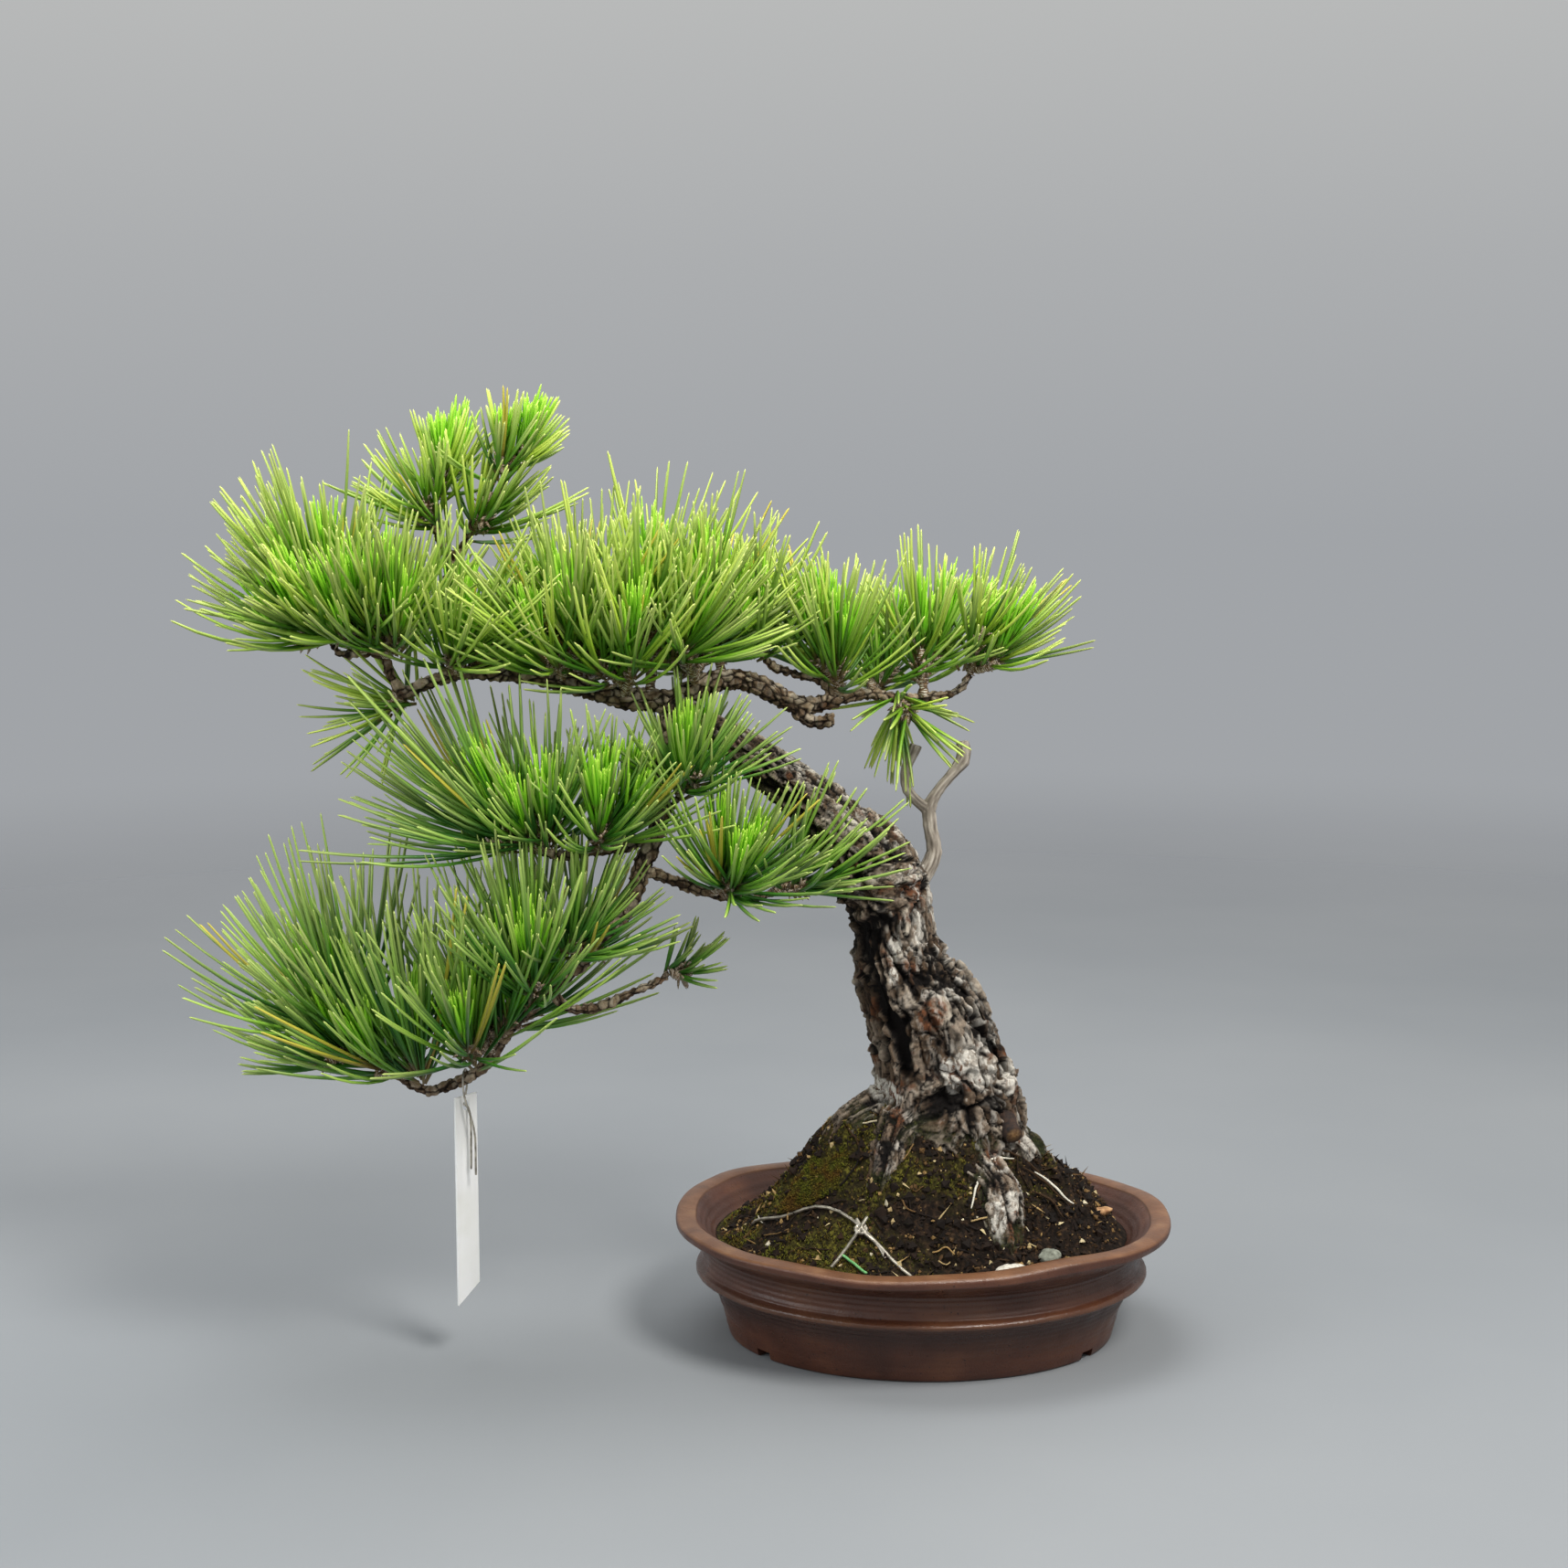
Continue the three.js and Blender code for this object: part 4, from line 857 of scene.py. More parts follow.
def make_soil():
    """The soil inside the pot, with its rough mound on top."""
    rows_inside = reversed(POT_INSIDE[1:])
    floor = POT_FLOOR + SOIL_GAP
    inside = [[*np.array(row[:2]) - SOIL_GAP, max(row[2], floor)] for row in rows_inside]
    shares = np.linspace(1, 0, MOUND_RINGS)[1:-1]
    top = [[*(share * SOIL_HALF), 0] for share in shares]
    rows = [[0, 0, floor], *inside, *top, [0, 0, 0]]
    points, faces = oval_loft(rows, SOIL_SEGMENTS)
    upper = np.arange(len(points)) >= SOIL_SEGMENTS * len(inside)
    upper[-2] = False
    surface = points[upper]
    surface[:, 2] = mound_height(surface[:, 0] / SOIL_HALF[0], surface[:, 1] / SOIL_HALF[1])
    edge = 1 - smooth_step(0.93, 1.0, np.hypot(*(surface[:, :2] / SOIL_HALF).T))
    surface[:, 2] += clods(surface) * edge - SURFACE_DROP
    points[upper] = surface
    mossy = {"mossy": np.where(upper, mossiness(points), 0)}
    make_object("potting_soil", points, faces, soil_material(), ["soil"], mossy)


def pebbles(centres, sizes, rng):
    """Small rough grains: a squashed, turned octahedron round each centre, as points and faces."""
    corners = np.array([[1, 0, 0], [0, 1, 0], [-1, 0, 0], [0, -1, 0], [0, 0, 1], [0, 0, -1]], float)
    sides = [(0, 1, 4), (1, 2, 4), (2, 3, 4), (3, 0, 4), (1, 0, 5), (2, 1, 5), (3, 2, 5), (0, 3, 5)]
    count = len(centres)
    shape = corners[None] * rng.uniform(0.65, 1.2, (count, 6, 1)) * sizes[:, None, :]
    turn, tip = rng.uniform(0, TURN, count), rng.uniform(-0.9, 0.9, count)
    cos, sin = np.cos(tip)[:, None], np.sin(tip)[:, None]
    x, y, z = shape[..., 0], shape[..., 1], shape[..., 2]
    x, z = cos * x + sin * z, cos * z - sin * x
    cos, sin = np.cos(turn)[:, None], np.sin(turn)[:, None]
    x, y = cos * x - sin * y, cos * y + sin * x
    points = np.stack([x, y, z], axis=-1) + centres[:, None, :]
    faces = [tuple(6 * i + k for k in side) for i in range(count) for side in sides]
    return points.reshape(-1, 3), faces


def spread_on_mound(rng, count, reach=0.97):
    """Points scattered over the rough mound, out to a share of its edge."""
    angle = rng.uniform(0, TURN, count)
    radius = reach * np.sqrt(rng.uniform(0.08, 1, count))
    places = np.column_stack([radius * np.cos(angle), radius * np.sin(angle)])
    points = on_mound(places)
    return points + np.column_stack([np.zeros((count, 2)), clods(points) - SURFACE_DROP])


def make_grains():
    """Loose grit, bark crumbs and short bits of twig on the soil."""
    rng = np.random.default_rng(11)
    grit = spread_on_mound(rng, GRIT)
    bare = rng.uniform(0, 1, len(grit)) > 0.8 * mossiness(grit)
    grit = grit[bare]
    size = 0.45 + 1.35 * rng.uniform(0, 1, len(grit)) ** 2.6
    sizes = size[:, None] * rng.uniform(0.6, 1.2, (len(grit), 3))
    tones = np.clip(rng.uniform(0, 0.94, len(grit)) ** 1.25 + 0.06 * (size > 1), 0, 1)
    crumbs = spread_on_mound(rng, CRUMBS)
    spans = ((2, 5.5), (0.4, 0.9), (0.25, 0.5))
    crumb_sizes = np.column_stack([rng.uniform(low, high, len(crumbs)) for low, high in spans])
    crumb_tones = 0.95 * rng.uniform(0, 1, len(crumbs)) ** 1.5
    centres = np.vstack([grit, crumbs + [0, 0, 0.4]])
    points, faces = pebbles(centres, np.vstack([sizes, crumb_sizes]), rng)
    tone = np.repeat(np.concatenate([tones, crumb_tones]), 6)
    make_object("soil_grains", points, faces, grain_material(), (), {"tone": tone}, smooth=False)


def make_clumps():
    """Dark clumps of root and soil that break up the mound's outline, clear of the tie-down wire."""
    rng = np.random.default_rng(37)
    centres = spread_on_mound(rng, CLUMPS, 0.93)
    lines = [np.column_stack([line, np.zeros(len(line))]) for line in WIRE_PLACES]
    wires = np.vstack([spline(line, 6)[:, :2] for line in lines])
    apart = centres[:, None, :2] / SOIL_HALF - wires[None]
    clear = np.hypot(apart[..., 0], apart[..., 1]).min(axis=1) > 0.065
    bare = rng.uniform(0, 1, len(centres)) > 0.55 * mossiness(centres)
    centres = centres[clear & bare]
    size = 0.9 + 2.1 * rng.uniform(0, 1, len(centres)) ** 1.8
    sizes = size[:, None] * rng.uniform(0.7, 1.2, (len(centres), 3))
    points, faces = pebbles(centres, sizes, rng)
    tone = np.repeat(0.3 * rng.uniform(0, 1, len(centres)), 6)
    make_object("soil_clumps", points, faces, grain_material(), (), {"tone": tone}, smooth=False)


def tufts_of_moss(centres, normals, rng, tall):
    """Upright three-sided sprigs, as points, faces and their tone from foot to tip."""
    count = len(centres)
    lean = unit(normals + rng.normal(0, 0.35, (count, 3)))
    height = tall * rng.uniform(0.5, 1.2, count)
    width = rng.uniform(0.28, 0.5, count)
    side = unit(np.cross(lean, rng.normal(0, 1, (count, 3))))
    other = np.cross(lean, side)
    points = np.empty((count, 4, 3))
    for k in range(3):
        turn = k * TURN / 3
        across = side * math.cos(turn) + other * math.sin(turn)
        points[:, k] = centres + width[:, None] * across - 0.2 * lean
    points[:, 3] = centres + lean * height[:, None]
    sides = [(0, 1, 3), (1, 2, 3), (2, 0, 3), (2, 1, 0)]
    faces = [tuple(4 * i + k for k in side) for i in range(count) for side in sides]
    tone = np.tile([0.15, 0.15, 0.15, 0.9], (count, 1)) * rng.uniform(0.5, 1.1, (count, 1))
    return points.reshape(-1, 3), faces, np.clip(tone, 0, 1).ravel()


def join_parts(parts):
    """Several (points, faces, values) as one."""
    points, faces, values, start = [], [], [], 0
    for part_points, part_faces, part_values in parts:
        points.append(part_points)
        values.append(part_values)
        faces.extend(tuple(start + k for k in face) for face in part_faces)
        start += len(part_points)
    return np.vstack(points), faces, np.concatenate(values)


def make_moss():
    material = moss_material()
    rng = np.random.default_rng(23)
    for node in ("moss_left", "moss_back"):
        points, normals, faces = dense_copy(node, 0.8)
        points = points + normals * (0.7 * layered_noise(points, 3, 3, seed=4))[:, None]
        up = np.flatnonzero(normals[:, 2] > 0.1)
        chosen = rng.choice(up, CUSHION_SPRIGS)
        sprigs = tufts_of_moss(points[chosen], normals[chosen], rng, 1.2)
        cushion = (points, faces, np.clip(0.3 + 0.4 * layered_noise(points, 2, 3, seed=6), 0, 1))
        joined = join_parts([cushion, sprigs])
        name = node.replace("moss", "moss_cushion")
        make_object(name, joined[0], joined[1], material, [node], {"tone": joined[2]})
    places = spread_on_mound(rng, FILM_SPRIGS)
    places = places[rng.uniform(0.1, 1, len(places)) < mossiness(places)]
    film = tufts_of_moss(places, np.tile([0.0, 0.0, 1.0], (len(places), 1)), rng, 1.5)
    make_object("moss_film", film[0], film[1], material, (), {"tone": film[2]})


def tube(path, radii, sides=5):
    """A closed rod along a path: points and faces."""
    tangent = unit(np.gradient(path, axis=0))
    side = unit(np.cross(tangent, [0.3, 0.5, 0.8]))
    other = np.cross(tangent, side)
    turn = np.arange(sides) * TURN / sides
    ring = side[:, None] * np.cos(turn)[None, :, None] + other[:, None] * np.sin(turn)[None, :, None]
    radii = np.broadcast_to(radii, len(path))
    points = (path[:, None] + ring * radii[:, None, None]).reshape(-1, 3)
    points = np.vstack([points, path[0], path[-1]])
    last = (len(path) - 1) * sides
    faces = []
    for k in range(sides):
        after = (k + 1) % sides
        faces += [(i + k, i + after, i + sides + after, i + sides + k) for i in range(0, last, sides)]
        faces += [(len(points) - 2, after, k), (len(points) - 1, last + k, last + after)]
    return points, faces


def laid_on_mound(places, lift):
    """A smooth path over the mound through rows of [u, v]."""
    flat = spline(np.column_stack([np.array(places, float), np.zeros(len(places))]), 6)[:, :2]
    path = on_mound(flat)
    heights = path[:, 2] + clods(path)
    padded = np.concatenate([heights[:1], heights[:1], heights, heights[-1:], heights[-1:]])
    path[:, 2] = np.convolve(padded, np.full(5, 0.2), "valid") + lift
    return path


# Curled strips of old bark that lie over the front root.
BARK_STRIPS = [
    [(0.2, -0.66), (0.24, -0.54), (0.31, -0.43), (0.42, -0.37)],
    [(0.23, -0.6), (0.28, -0.48), (0.36, -0.4)],
    [(0.34, -0.37), (0.46, -0.33), (0.58, -0.35)],
    [(0.46, -0.4), (0.57, -0.39), (0.66, -0.44)],
    [(0.52, -0.35), (0.62, -0.37), (0.7, -0.43)],
    [(0.5, -0.46), (0.58, -0.48), (0.64, -0.54)],
]


def make_litter():
    """Dry needles, root hairs and curled bark on the soil, and one green needle."""
    rng = np.random.default_rng(37)
    parts = []
    for _ in range(DRY_BITS):
        angle, radius = rng.uniform(0, TURN), 0.95 * math.sqrt(rng.uniform(0.12, 0.95))
        start = radius * np.array([math.cos(angle), math.sin(angle)])
        way = rng.normal(0, 1, 2)
        way *= rng.uniform(0.03, 0.16) / np.linalg.norm(way)
        bow = rng.normal(0, 0.2, 1) * way[::-1] * [1, -1]
        end = start + way
        if np.hypot(*end) > 0.96:
            continue
        path = laid_on_mound([start, start + way / 2 + bow, end], rng.uniform(0.4, 1.2))
        points, faces = tube(path, rng.uniform(0.2, 0.42))
        parts.append((points, faces, np.full(len(points), rng.uniform(0.1, 1) ** 1.8)))
    for strip in BARK_STRIPS:
        path = laid_on_mound(strip, 2.2)
        points, faces = tube(path, 0.55 * np.sin(np.linspace(0.5, 2.7, len(path))), 6)
        parts.append((points, faces, np.full(len(points), rng.choice([0.5, 0.62, 1.0]))))
    joined = join_parts(parts)
    make_object("soil_litter", joined[0], joined[1], grain_material(), (), {"tone": joined[2]})
    path = laid_on_mound([(-0.4, -0.74), (-0.34, -0.81), (-0.29, -0.88)], 1.3)
    points, faces = tube(path, 0.55)
    green = plain_material("fallen_needle_green", "#3f8a4a", "#7fc07a", 4, 0.5)
    make_object("fallen_needle", points, faces, green)


def make_stones():
    looks = {
        "stone_white": ("#a8a092", "#e2dccf", "white_stone"),
        "stone_grey": ("#5c5e52", "#8f9284", "grey_stone"),
        "wood_chip": ("#8a5f3c", "#c49a6c", "wood_chip"),
    }
    for node, (first, second, slot) in looks.items():
        points, normals, faces = dense_copy(node, 0.4)
        rough = 0.5 * layered_noise(points, 3, 4, seed=13)
        _, _, number, _ = cells_of(points / 2.4, seed=17)
        points = points + normals * (rough + 0.3 * number - 0.25)[:, None]
        material = plain_material(node + "_surface", first, second, 2.2, 0.8, relief=0.25)
        make_object(node + "_weathered", points, faces, material, [node])


# ---- Limbs ----


def tree(points):
    """Points in the tree's own heights, put on the pot."""
    return np.array(points, float) + [0, 0, TREE_Z]


def on_soil(points):
    """Points from rows of [u, v, height above the mound]."""
    points = np.array(points, float)
    return on_mound(points[:, :2], points[:, 2])


FOOT = [10.0, 0.0, 86.0]


def root(points):
    """A root's line, from the trunk's foot over the mound."""
    return np.vstack([FOOT, on_soil(points)])


TRUNK = tree([
    (12, 0, -16), (11, 0, 6), (6, -1, 26), (0, -2, 42), (-8, -3, 57), (-13, -3, 75), (-16, -4, 92),
    (-21, -4, 105), (-32, -6, 117), (-46, -8, 130), (-61, -10, 142), (-76, -10, 153),
    (-90, -10, 161), (-101, -9, 169),
])
ROOTS = [
    root([(-0.26, -0.1, -3), (-0.4, -0.14, -6), (-0.5, -0.2, -14)]),
    root([(-0.13, -0.3, -3), (-0.2, -0.42, -6), (-0.26, -0.54, -14)]),
    root([(0.22, -0.3, -14), (0.32, -0.47, -7), (0.35, -0.62, -4), (0.37, -0.72, -12)]),
    root([(0.42, -0.2, -3), (0.5, -0.24, -3)]),
    root([(0.48, -0.04, -3), (0.58, -0.06, -5), (0.68, -0.08, -13)]),
    root([(0.34, 0.36, -5), (0.46, 0.5, -7), (0.56, 0.6, -15)]),
    root([(-0.1, 0.42, -5), (-0.2, 0.58, -7), (-0.26, 0.7, -15)]),
]
KNOB = tree([
    (-16, -6, 96), (-28, -15, 95), (-34, -19, 95),
])
DEAD_BRANCH = tree([
    (-9, 2, 90), (0, 9, 96), (5, 11, 106), (3.5, 12, 116), (3, 13, 124), (6.5, 14, 131),
    (12.5, 15, 138), (17, 16, 144), (16.5, 16, 151),
])
DEAD_FORK = tree([
    (3, 13, 123), (-3, 12.5, 128), (-6.5, 12, 133), (-6.5, 12, 140), (-2.5, 12, 150),
])
UPPER_LEFT = tree([
    (-100, -9, 169), (-120, -13, 171), (-134, -16, 175), (-148, -19, 179), (-162, -22, 181),
    (-180, -24, 181.5), (-194, -25, 177.5), (-204, -25, 173),
])
UPPER_LEFT_TWIG = tree([
    (-203, -25, 173), (-208, -25, 180), (-210, -26, 188), (-219, -27, 190), (-227, -28, 189),
    (-230, -28, 195),
])
APEX = tree([
    (-170, -22.5, 182), (-178, -20, 192), (-185, -18, 201), (-186, -17, 213), (-186, -16, 226),
    (-190, -15, 233), (-192, -14, 243), (-190, -13, 252),
])
APEX_TWIG = tree([
    (-186, -16, 225), (-180, -16, 231), (-174, -18, 245), (-166, -20, 251), (-164, -20, 258),
])
UPPER_RIGHT = tree([
    (-100, -9, 169), (-88, -6, 175.5), (-77, -3, 178), (-66, 0, 175), (-57, 3, 169.5),
    (-48, 6, 166.5), (-33, 10, 169), (-22, 13, 171), (-9, 15, 168.5), (6, 18, 169), (14.5, 20, 171),
    (20, 21, 178),
])
CUT_PRONG = tree([
    (-53, 5, 167), (-45, 4, 160), (-36, 3, 161),
])
RETURN_TWIG = tree([
    (-34, 10, 169), (-42, 8, 176), (-52, 5, 179.5), (-60, 3, 182), (-65, 1, 187),
])
LOWER = tree([
    (-99, -9, 169), (-104, -14, 147), (-105, -18, 122), (-112, -22, 104), (-115, -24, 93),
    (-121, -26, 83), (-136, -30, 68), (-155, -32, 52), (-163, -32, 43), (-174, -30, 27),
    (-184, -29, 21), (-198, -28, 17), (-211, -28, 27), (-222, -28, 30.5),
])
LOWER_TWIG = tree([
    (-147, -31, 59), (-141, -30, 51), (-132, -28, 50), (-124, -26, 52), (-115, -24, 56),
    (-107, -22, 59), (-101, -20, 63),
])
MIDDLE_LEFT = tree([
    (-105, -18, 120), (-115, -22, 114), (-129, -26, 112.5), (-142, -30, 111), (-155, -32, 114),
])
MIDDLE_RIGHT = tree([
    (-112.5, -22, 105), (-98, -20, 99), (-80, -17, 93), (-69, -15, 91), (-60, -13, 94),
])
INNER_TWIG = tree([
    (-105, -18, 124), (-100, -20, 129), (-97, -23, 134),
])


GUIDE_SHIFT = 41.7  # so that the bark's pattern differs from one guide line to the next


def guide_space(points, guides):
    """Each point's place beside its nearest guide: across it (two columns), along it, and which guide."""
    places, along, sides, others, owner = [], [], [], [], []
    for number, guide in enumerate(guides):
        line = spline(guide, 10)
        tangent = unit(np.gradient(line, axis=0))
        side = unit(np.cross(tangent[0], [0.3, 1.0, 0.2]))
        length = np.concatenate([[0], np.cumsum(np.linalg.norm(np.diff(line, axis=0), axis=1))])
        for i in range(len(line)):
            side = unit(side - tangent[i] * np.dot(side, tangent[i]))
            places.append(line[i])
            along.append(length[i])
            sides.append(side)
            others.append(np.cross(tangent[i], side))
            owner.append(number)
    places, along, sides, others = map(np.array, (places, along, sides, others))
    owner = np.array(owner)
    nearest = np.empty(len(points), int)
    for start in range(0, len(points), 4000):
        gap = ((points[start : start + 4000, None] - places[None]) ** 2).sum(axis=2)
        nearest[start : start + 4000] = gap.argmin(axis=1)
    away = points - places[nearest]
    forward = np.cross(sides[nearest], others[nearest])
    across = np.stack([(away * sides[nearest]).sum(1), (away * others[nearest]).sum(1)], axis=1)
    extra = (away * forward).sum(1)
    return across, along[nearest] + extra, owner[nearest]


def mossy_foot(points, normals):
    """Moss that creeps up the wood where it enters the soil."""
    flat = points[:, :2] / SOIL_HALF
    above = points[:, 2] - mound_height(flat[:, 0], flat[:, 1])
    patch = smooth_step(-0.2, 0.25, layered_noise(points, 9, 3, seed=51))
    return np.clip((1 - smooth_step(2, 9, above)) * patch * (0.5 + 0.5 * normals[:, 2]) * 1.3, 0, 1)


# Marks on the trunk's front, in the tree's measures: lines of [x, z], and [x, z, half width, half height].
LONG_SPLIT = [(-25.5, 80), (-26.5, 74), (-22.6, 63), (-19.8, 53), (-15, 44), (-10.6, 33), (-8, 24)]
SIDE_SPLIT = [(-34, 66), (-28, 61), (-21.5, 56), (-17, 48), (-12, 38)]
BRANCH_SCAR = (-19, 82, 7.5)
PALE_MARKS = [
    (-12.3, 71.8, 3.2, 6.5),
    (-13, 62, 1.8, 4),
    (-3, 80, 1.8, 9),
    (17.8, 28, 7, 6),
    (22.8, 23, 6, 6),
    (8.6, 25.3, 3.2, 5),
    (10.7, 18.5, 4, 4.5),
    (25, 33.5, 2.2, 4),
    (34, 18, 2, 7),
    (10, 54, 4, 2.6),
    (21.4, 42, 4.5, 1.8),
    (-16.2, 13, 6.5, 5.5),
    (27, -29, 3.6, 9.5),
    (19.7, -31, 2.4, 4.5),
    (33.5, -23, 3.2, 4),
]
BROWN_MARKS = [(2.2, 46.5, 5.5, 7), (-11.5, 6.5, 4, 3.5), (31, 28.5, 3, 3), (35, -34, 5, 9), (-4, 96, 5, 4)]


def line_on_front(points, normals, line, width):
    """How deep points lie in a split along a line on the trunk's front."""
    curve = spline(np.column_stack([np.array(line, float), np.zeros(len(line))]), 10)[:, :2]
    gap = np.full(len(points), 99.0)
    for x, z in curve:
        gap = np.minimum(gap, np.hypot(points[:, 0] - x, points[:, 2] - TREE_Z - z))
    gap += 0.5 * layered_noise(points, 3, 2, seed=71)
    return (1 - smooth_step(0.2 * width, width, gap)) * smooth_step(0.3, -0.1, normals[:, 1])


def marks_on_front(points, normals, marks, seed):
    """How far points lie inside the marks on the trunk's front."""
    ragged = 1 + 0.4 * layered_noise(points, 3.5, 3, seed=seed)
    inside = np.zeros(len(points))
    for x, z, wide, tall in marks:
        away = np.hypot((points[:, 0] - x) / wide, (points[:, 2] - TREE_Z - z) / tall)
        inside = np.maximum(inside, 1 - smooth_step(0.8, 1.1, away * ragged))
    return inside * smooth_step(0.4, 0.0, normals[:, 1])


def trunk_strata(spot):
    """Layers of bark that step outward: the layer's number, its relief and the shadow at its edge."""
    strata = layered_noise(spot / [9.0, 9.0, 22.0], 1.0, 4, seed=31) * 3.8
    part = strata - np.floor(strata)
    step = np.floor(strata) + smooth_step(0.8, 1.0, part) + 0.35 * part
    shadow = smooth_step(0.6, 0.8, part) * (1 - smooth_step(0.88, 1.0, part))
    return strata, step, shadow


def branch_scar(points, normals):
    """The scar of a lost branch: the collar that healed round it and the hollow inside."""
    x, z, reach = BRANCH_SCAR
    ring = np.hypot(points[:, 0] - x, (points[:, 2] - TREE_Z - z) * 1.2)
    ring = ring + 0.8 * layered_noise(points, 4, 2, seed=5)
    front = smooth_step(0.3, -0.1, normals[:, 1])
    above = smooth_step(-3, 2, points[:, 2] - TREE_Z - z)
    collar = front * hump(ring, reach, 1.8) * above
    hollow = front * (1 - smooth_step(0.35 * reach, 0.85 * reach, ring)) * (0.4 + 0.6 * above)
    return collar, hollow


def trunk_splits(points, normals):
    split = line_on_front(points, normals, LONG_SPLIT, 4.2)
    return np.maximum(split, 0.6 * line_on_front(points, normals, SIDE_SPLIT, 2.4))


def make_trunk(material):
    """Flaky plates, strata and long splits, cut into a dense copy of the trunk and its roots."""
    points, normals, faces = dense_copy("trunk", 0.65)
    across, along, owner = guide_space(points, [TRUNK, KNOB, *ROOTS])
    scale = np.clip(np.linalg.norm(across, axis=1) / 24, 0.4, 1.0)
    spot = np.column_stack([across / scale[:, None], along / scale**0.5 + GUIDE_SHIFT * owner])
    spot = spot + noise_bend(spot, 10) * [3.0, 3.0, 5.0]
    strata, step, shadow = trunk_strata(spot)
    seam = np.abs(layered_noise(spot / [15.0, 15.0, 52.0], 1.0, 3, seed=43))
    fissure = 1 - smooth_step(0.02, 0.14, seam)
    first, second, plates, _ = cells_of(spot / [7.0, 7.0, 15.0], seed=6)
    edge = crack_at(first, second, 0.2)
    first, second, flakes, _ = cells_of(spot / [3.4, 3.4, 7.5] + 5, seed=16)
    flake_edge = crack_at(first, second, 0.15)
    split = trunk_splits(points, normals)
    collar, hollow = branch_scar(points, normals)
    pale = marks_on_front(points, normals, PALE_MARKS, 81)
    warm = marks_on_front(points, normals, BROWN_MARKS, 82)
    relief = 0.75 * step - 3.2 * fissure + 2.6 * (plates - 0.5) - 1.5 * edge
    relief = relief + 0.9 * (flakes - 0.5) - 0.3 * flake_edge
    relief += 0.5 * layered_noise(spot, 1.8, 2, seed=7) - 5.5 * split + 2.2 * collar - 3.0 * hollow
    relief += 0.3 * pale
    tone = 0.5 + 0.6 * (plates - 0.5) + 0.08 * strata + 0.3 * (flakes - 0.5)
    tone = tone + 0.12 * layered_noise(spot, 6, 3, seed=9)
    # Painted shade: darker in the fissures, at the steps of the strata, between plates and flakes, in the
    # splits and in the scar's hollow.
    dark = 0.95 * fissure + 0.7 * shadow + 0.6 * edge + 0.25 * flake_edge + split + 0.8 * hollow
    points = points + normals * (np.clip(relief, -6.5, 3.2) * np.clip(scale, 0.42, 1.0))[:, None]
    attributes = {
        "tone_and_top_light": np.clip(tone, 0, 1),
        "crevice_shade": np.clip(dark * (1 - 0.5 * pale), 0, 1),
        # Paler on the right and upper sides: lichens, partly a painted highlight where the light falls.
        "lichen_and_highlight": np.clip(0.3 + 0.55 * normals[:, 0] + 0.3 * normals[:, 2], 0, 1),
        "crust": pale,
        "warm": warm * (1 - 0.7 * flake_edge),
        "mossy": mossy_foot(points, normals),
    }
    make_object("trunk_and_roots", points, faces, material, ["trunk"], attributes)
    make_root_stub(points)


def make_root_stub(trunk_points):
    """The sawn stub of an old root, at the right of the trunk's foot."""
    x, z = 34.0, TREE_Z + 1
    beside = np.hypot(trunk_points[:, 0] - x, trunk_points[:, 2] - z) < 3
    front = trunk_points[beside, 1].min() if beside.any() else -15.0
    share = np.linspace(0, 1, 9)
    path = np.array([x - 2, front + 8, z + 2]) + share[:, None] * np.array([3.0, -11.0, -4.5])
    points, faces = tube(path, 4.2 - 0.7 * share + 0.25 * np.sin(9 * share), 18)
    points[:-2] += 0.3 * layered_noise(points[:-2], 2, 2, seed=3)[:, None]
    cut = np.zeros(len(points))
    cut[-1] = 1
    make_object("cut_root_stub", points, faces, sawn_root_material(), (), {"cut": cut})


def make_branch(node, guides, material):
    """Small bark scales and the cracks between them, cut into a dense copy of a branch."""
    points, normals, faces = dense_copy(node, 0.5)
    across, along, owner = guide_space(points, guides)
    spot = np.column_stack([across, along + GUIDE_SHIFT * owner])
    spot = spot + noise_bend(spot, 4) * 0.9
    first, second, number, offset = cells_of(spot / [3.9, 3.9, 5.4], seed=5)
    crack = crack_at(first, second, 0.2)
    _, _, small, _ = cells_of(spot / [1.5, 1.5, 1.9] + 9, seed=6)
    rings = 0.25 * np.sin(along * TURN / 3.4 + 2 * layered_noise(spot, 5, 2, seed=12))
    relief = 0.8 * (number - 0.5) + 0.9 * offset[:, 2] * (number - 0.5) + 0.4 * (small - 0.5) + rings
    relief += 0.5 * layered_noise(spot, 6, 3, seed=7) - 0.75 * crack
    points = points + normals * (0.85 * relief)[:, None]
    attributes = {
        # The tone of the scales, painted lighter on the upper side where the light falls.
        "tone_and_top_light": np.clip(0.6 * number + 0.4 * small + 0.25 * normals[:, 2], 0, 1),
        # Painted shade in the cracks between the scales.
        "crevice_shade": crack,
        # Paler on the right and upper sides: lichens, partly a painted highlight where the light falls.
        "lichen_and_highlight": np.clip(0.4 + 0.3 * normals[:, 0] + 0.5 * normals[:, 2], 0, 1),
        **dict.fromkeys(("crust", "warm", "mossy"), np.zeros(len(points))),
    }
    make_object(node + "_bark", points, faces, material, [node], attributes)


def make_dead_branch():
    """Long silver grain, cut into a dense copy of the dead branch."""
    points, normals, faces = dense_copy("dead_branch", 0.45)
    across, along, owner = guide_space(points, [DEAD_BRANCH, DEAD_FORK])
    thread = np.column_stack([across, (along + 50 * owner) / 9])
    grain = layered_noise(thread, 0.8, 3, seed=3)
    lumps = layered_noise(points, 5, 2, seed=4)
    points = points + normals * (0.22 * grain + 0.35 * lumps)[:, None]
    shade = {"grain": np.clip(0.5 + 0.5 * grain + 0.12 * lumps, 0, 1)}
    material = dead_wood_material()
    make_object("bleached_dead_branch", points, faces, material, ["dead_branch"], shade)


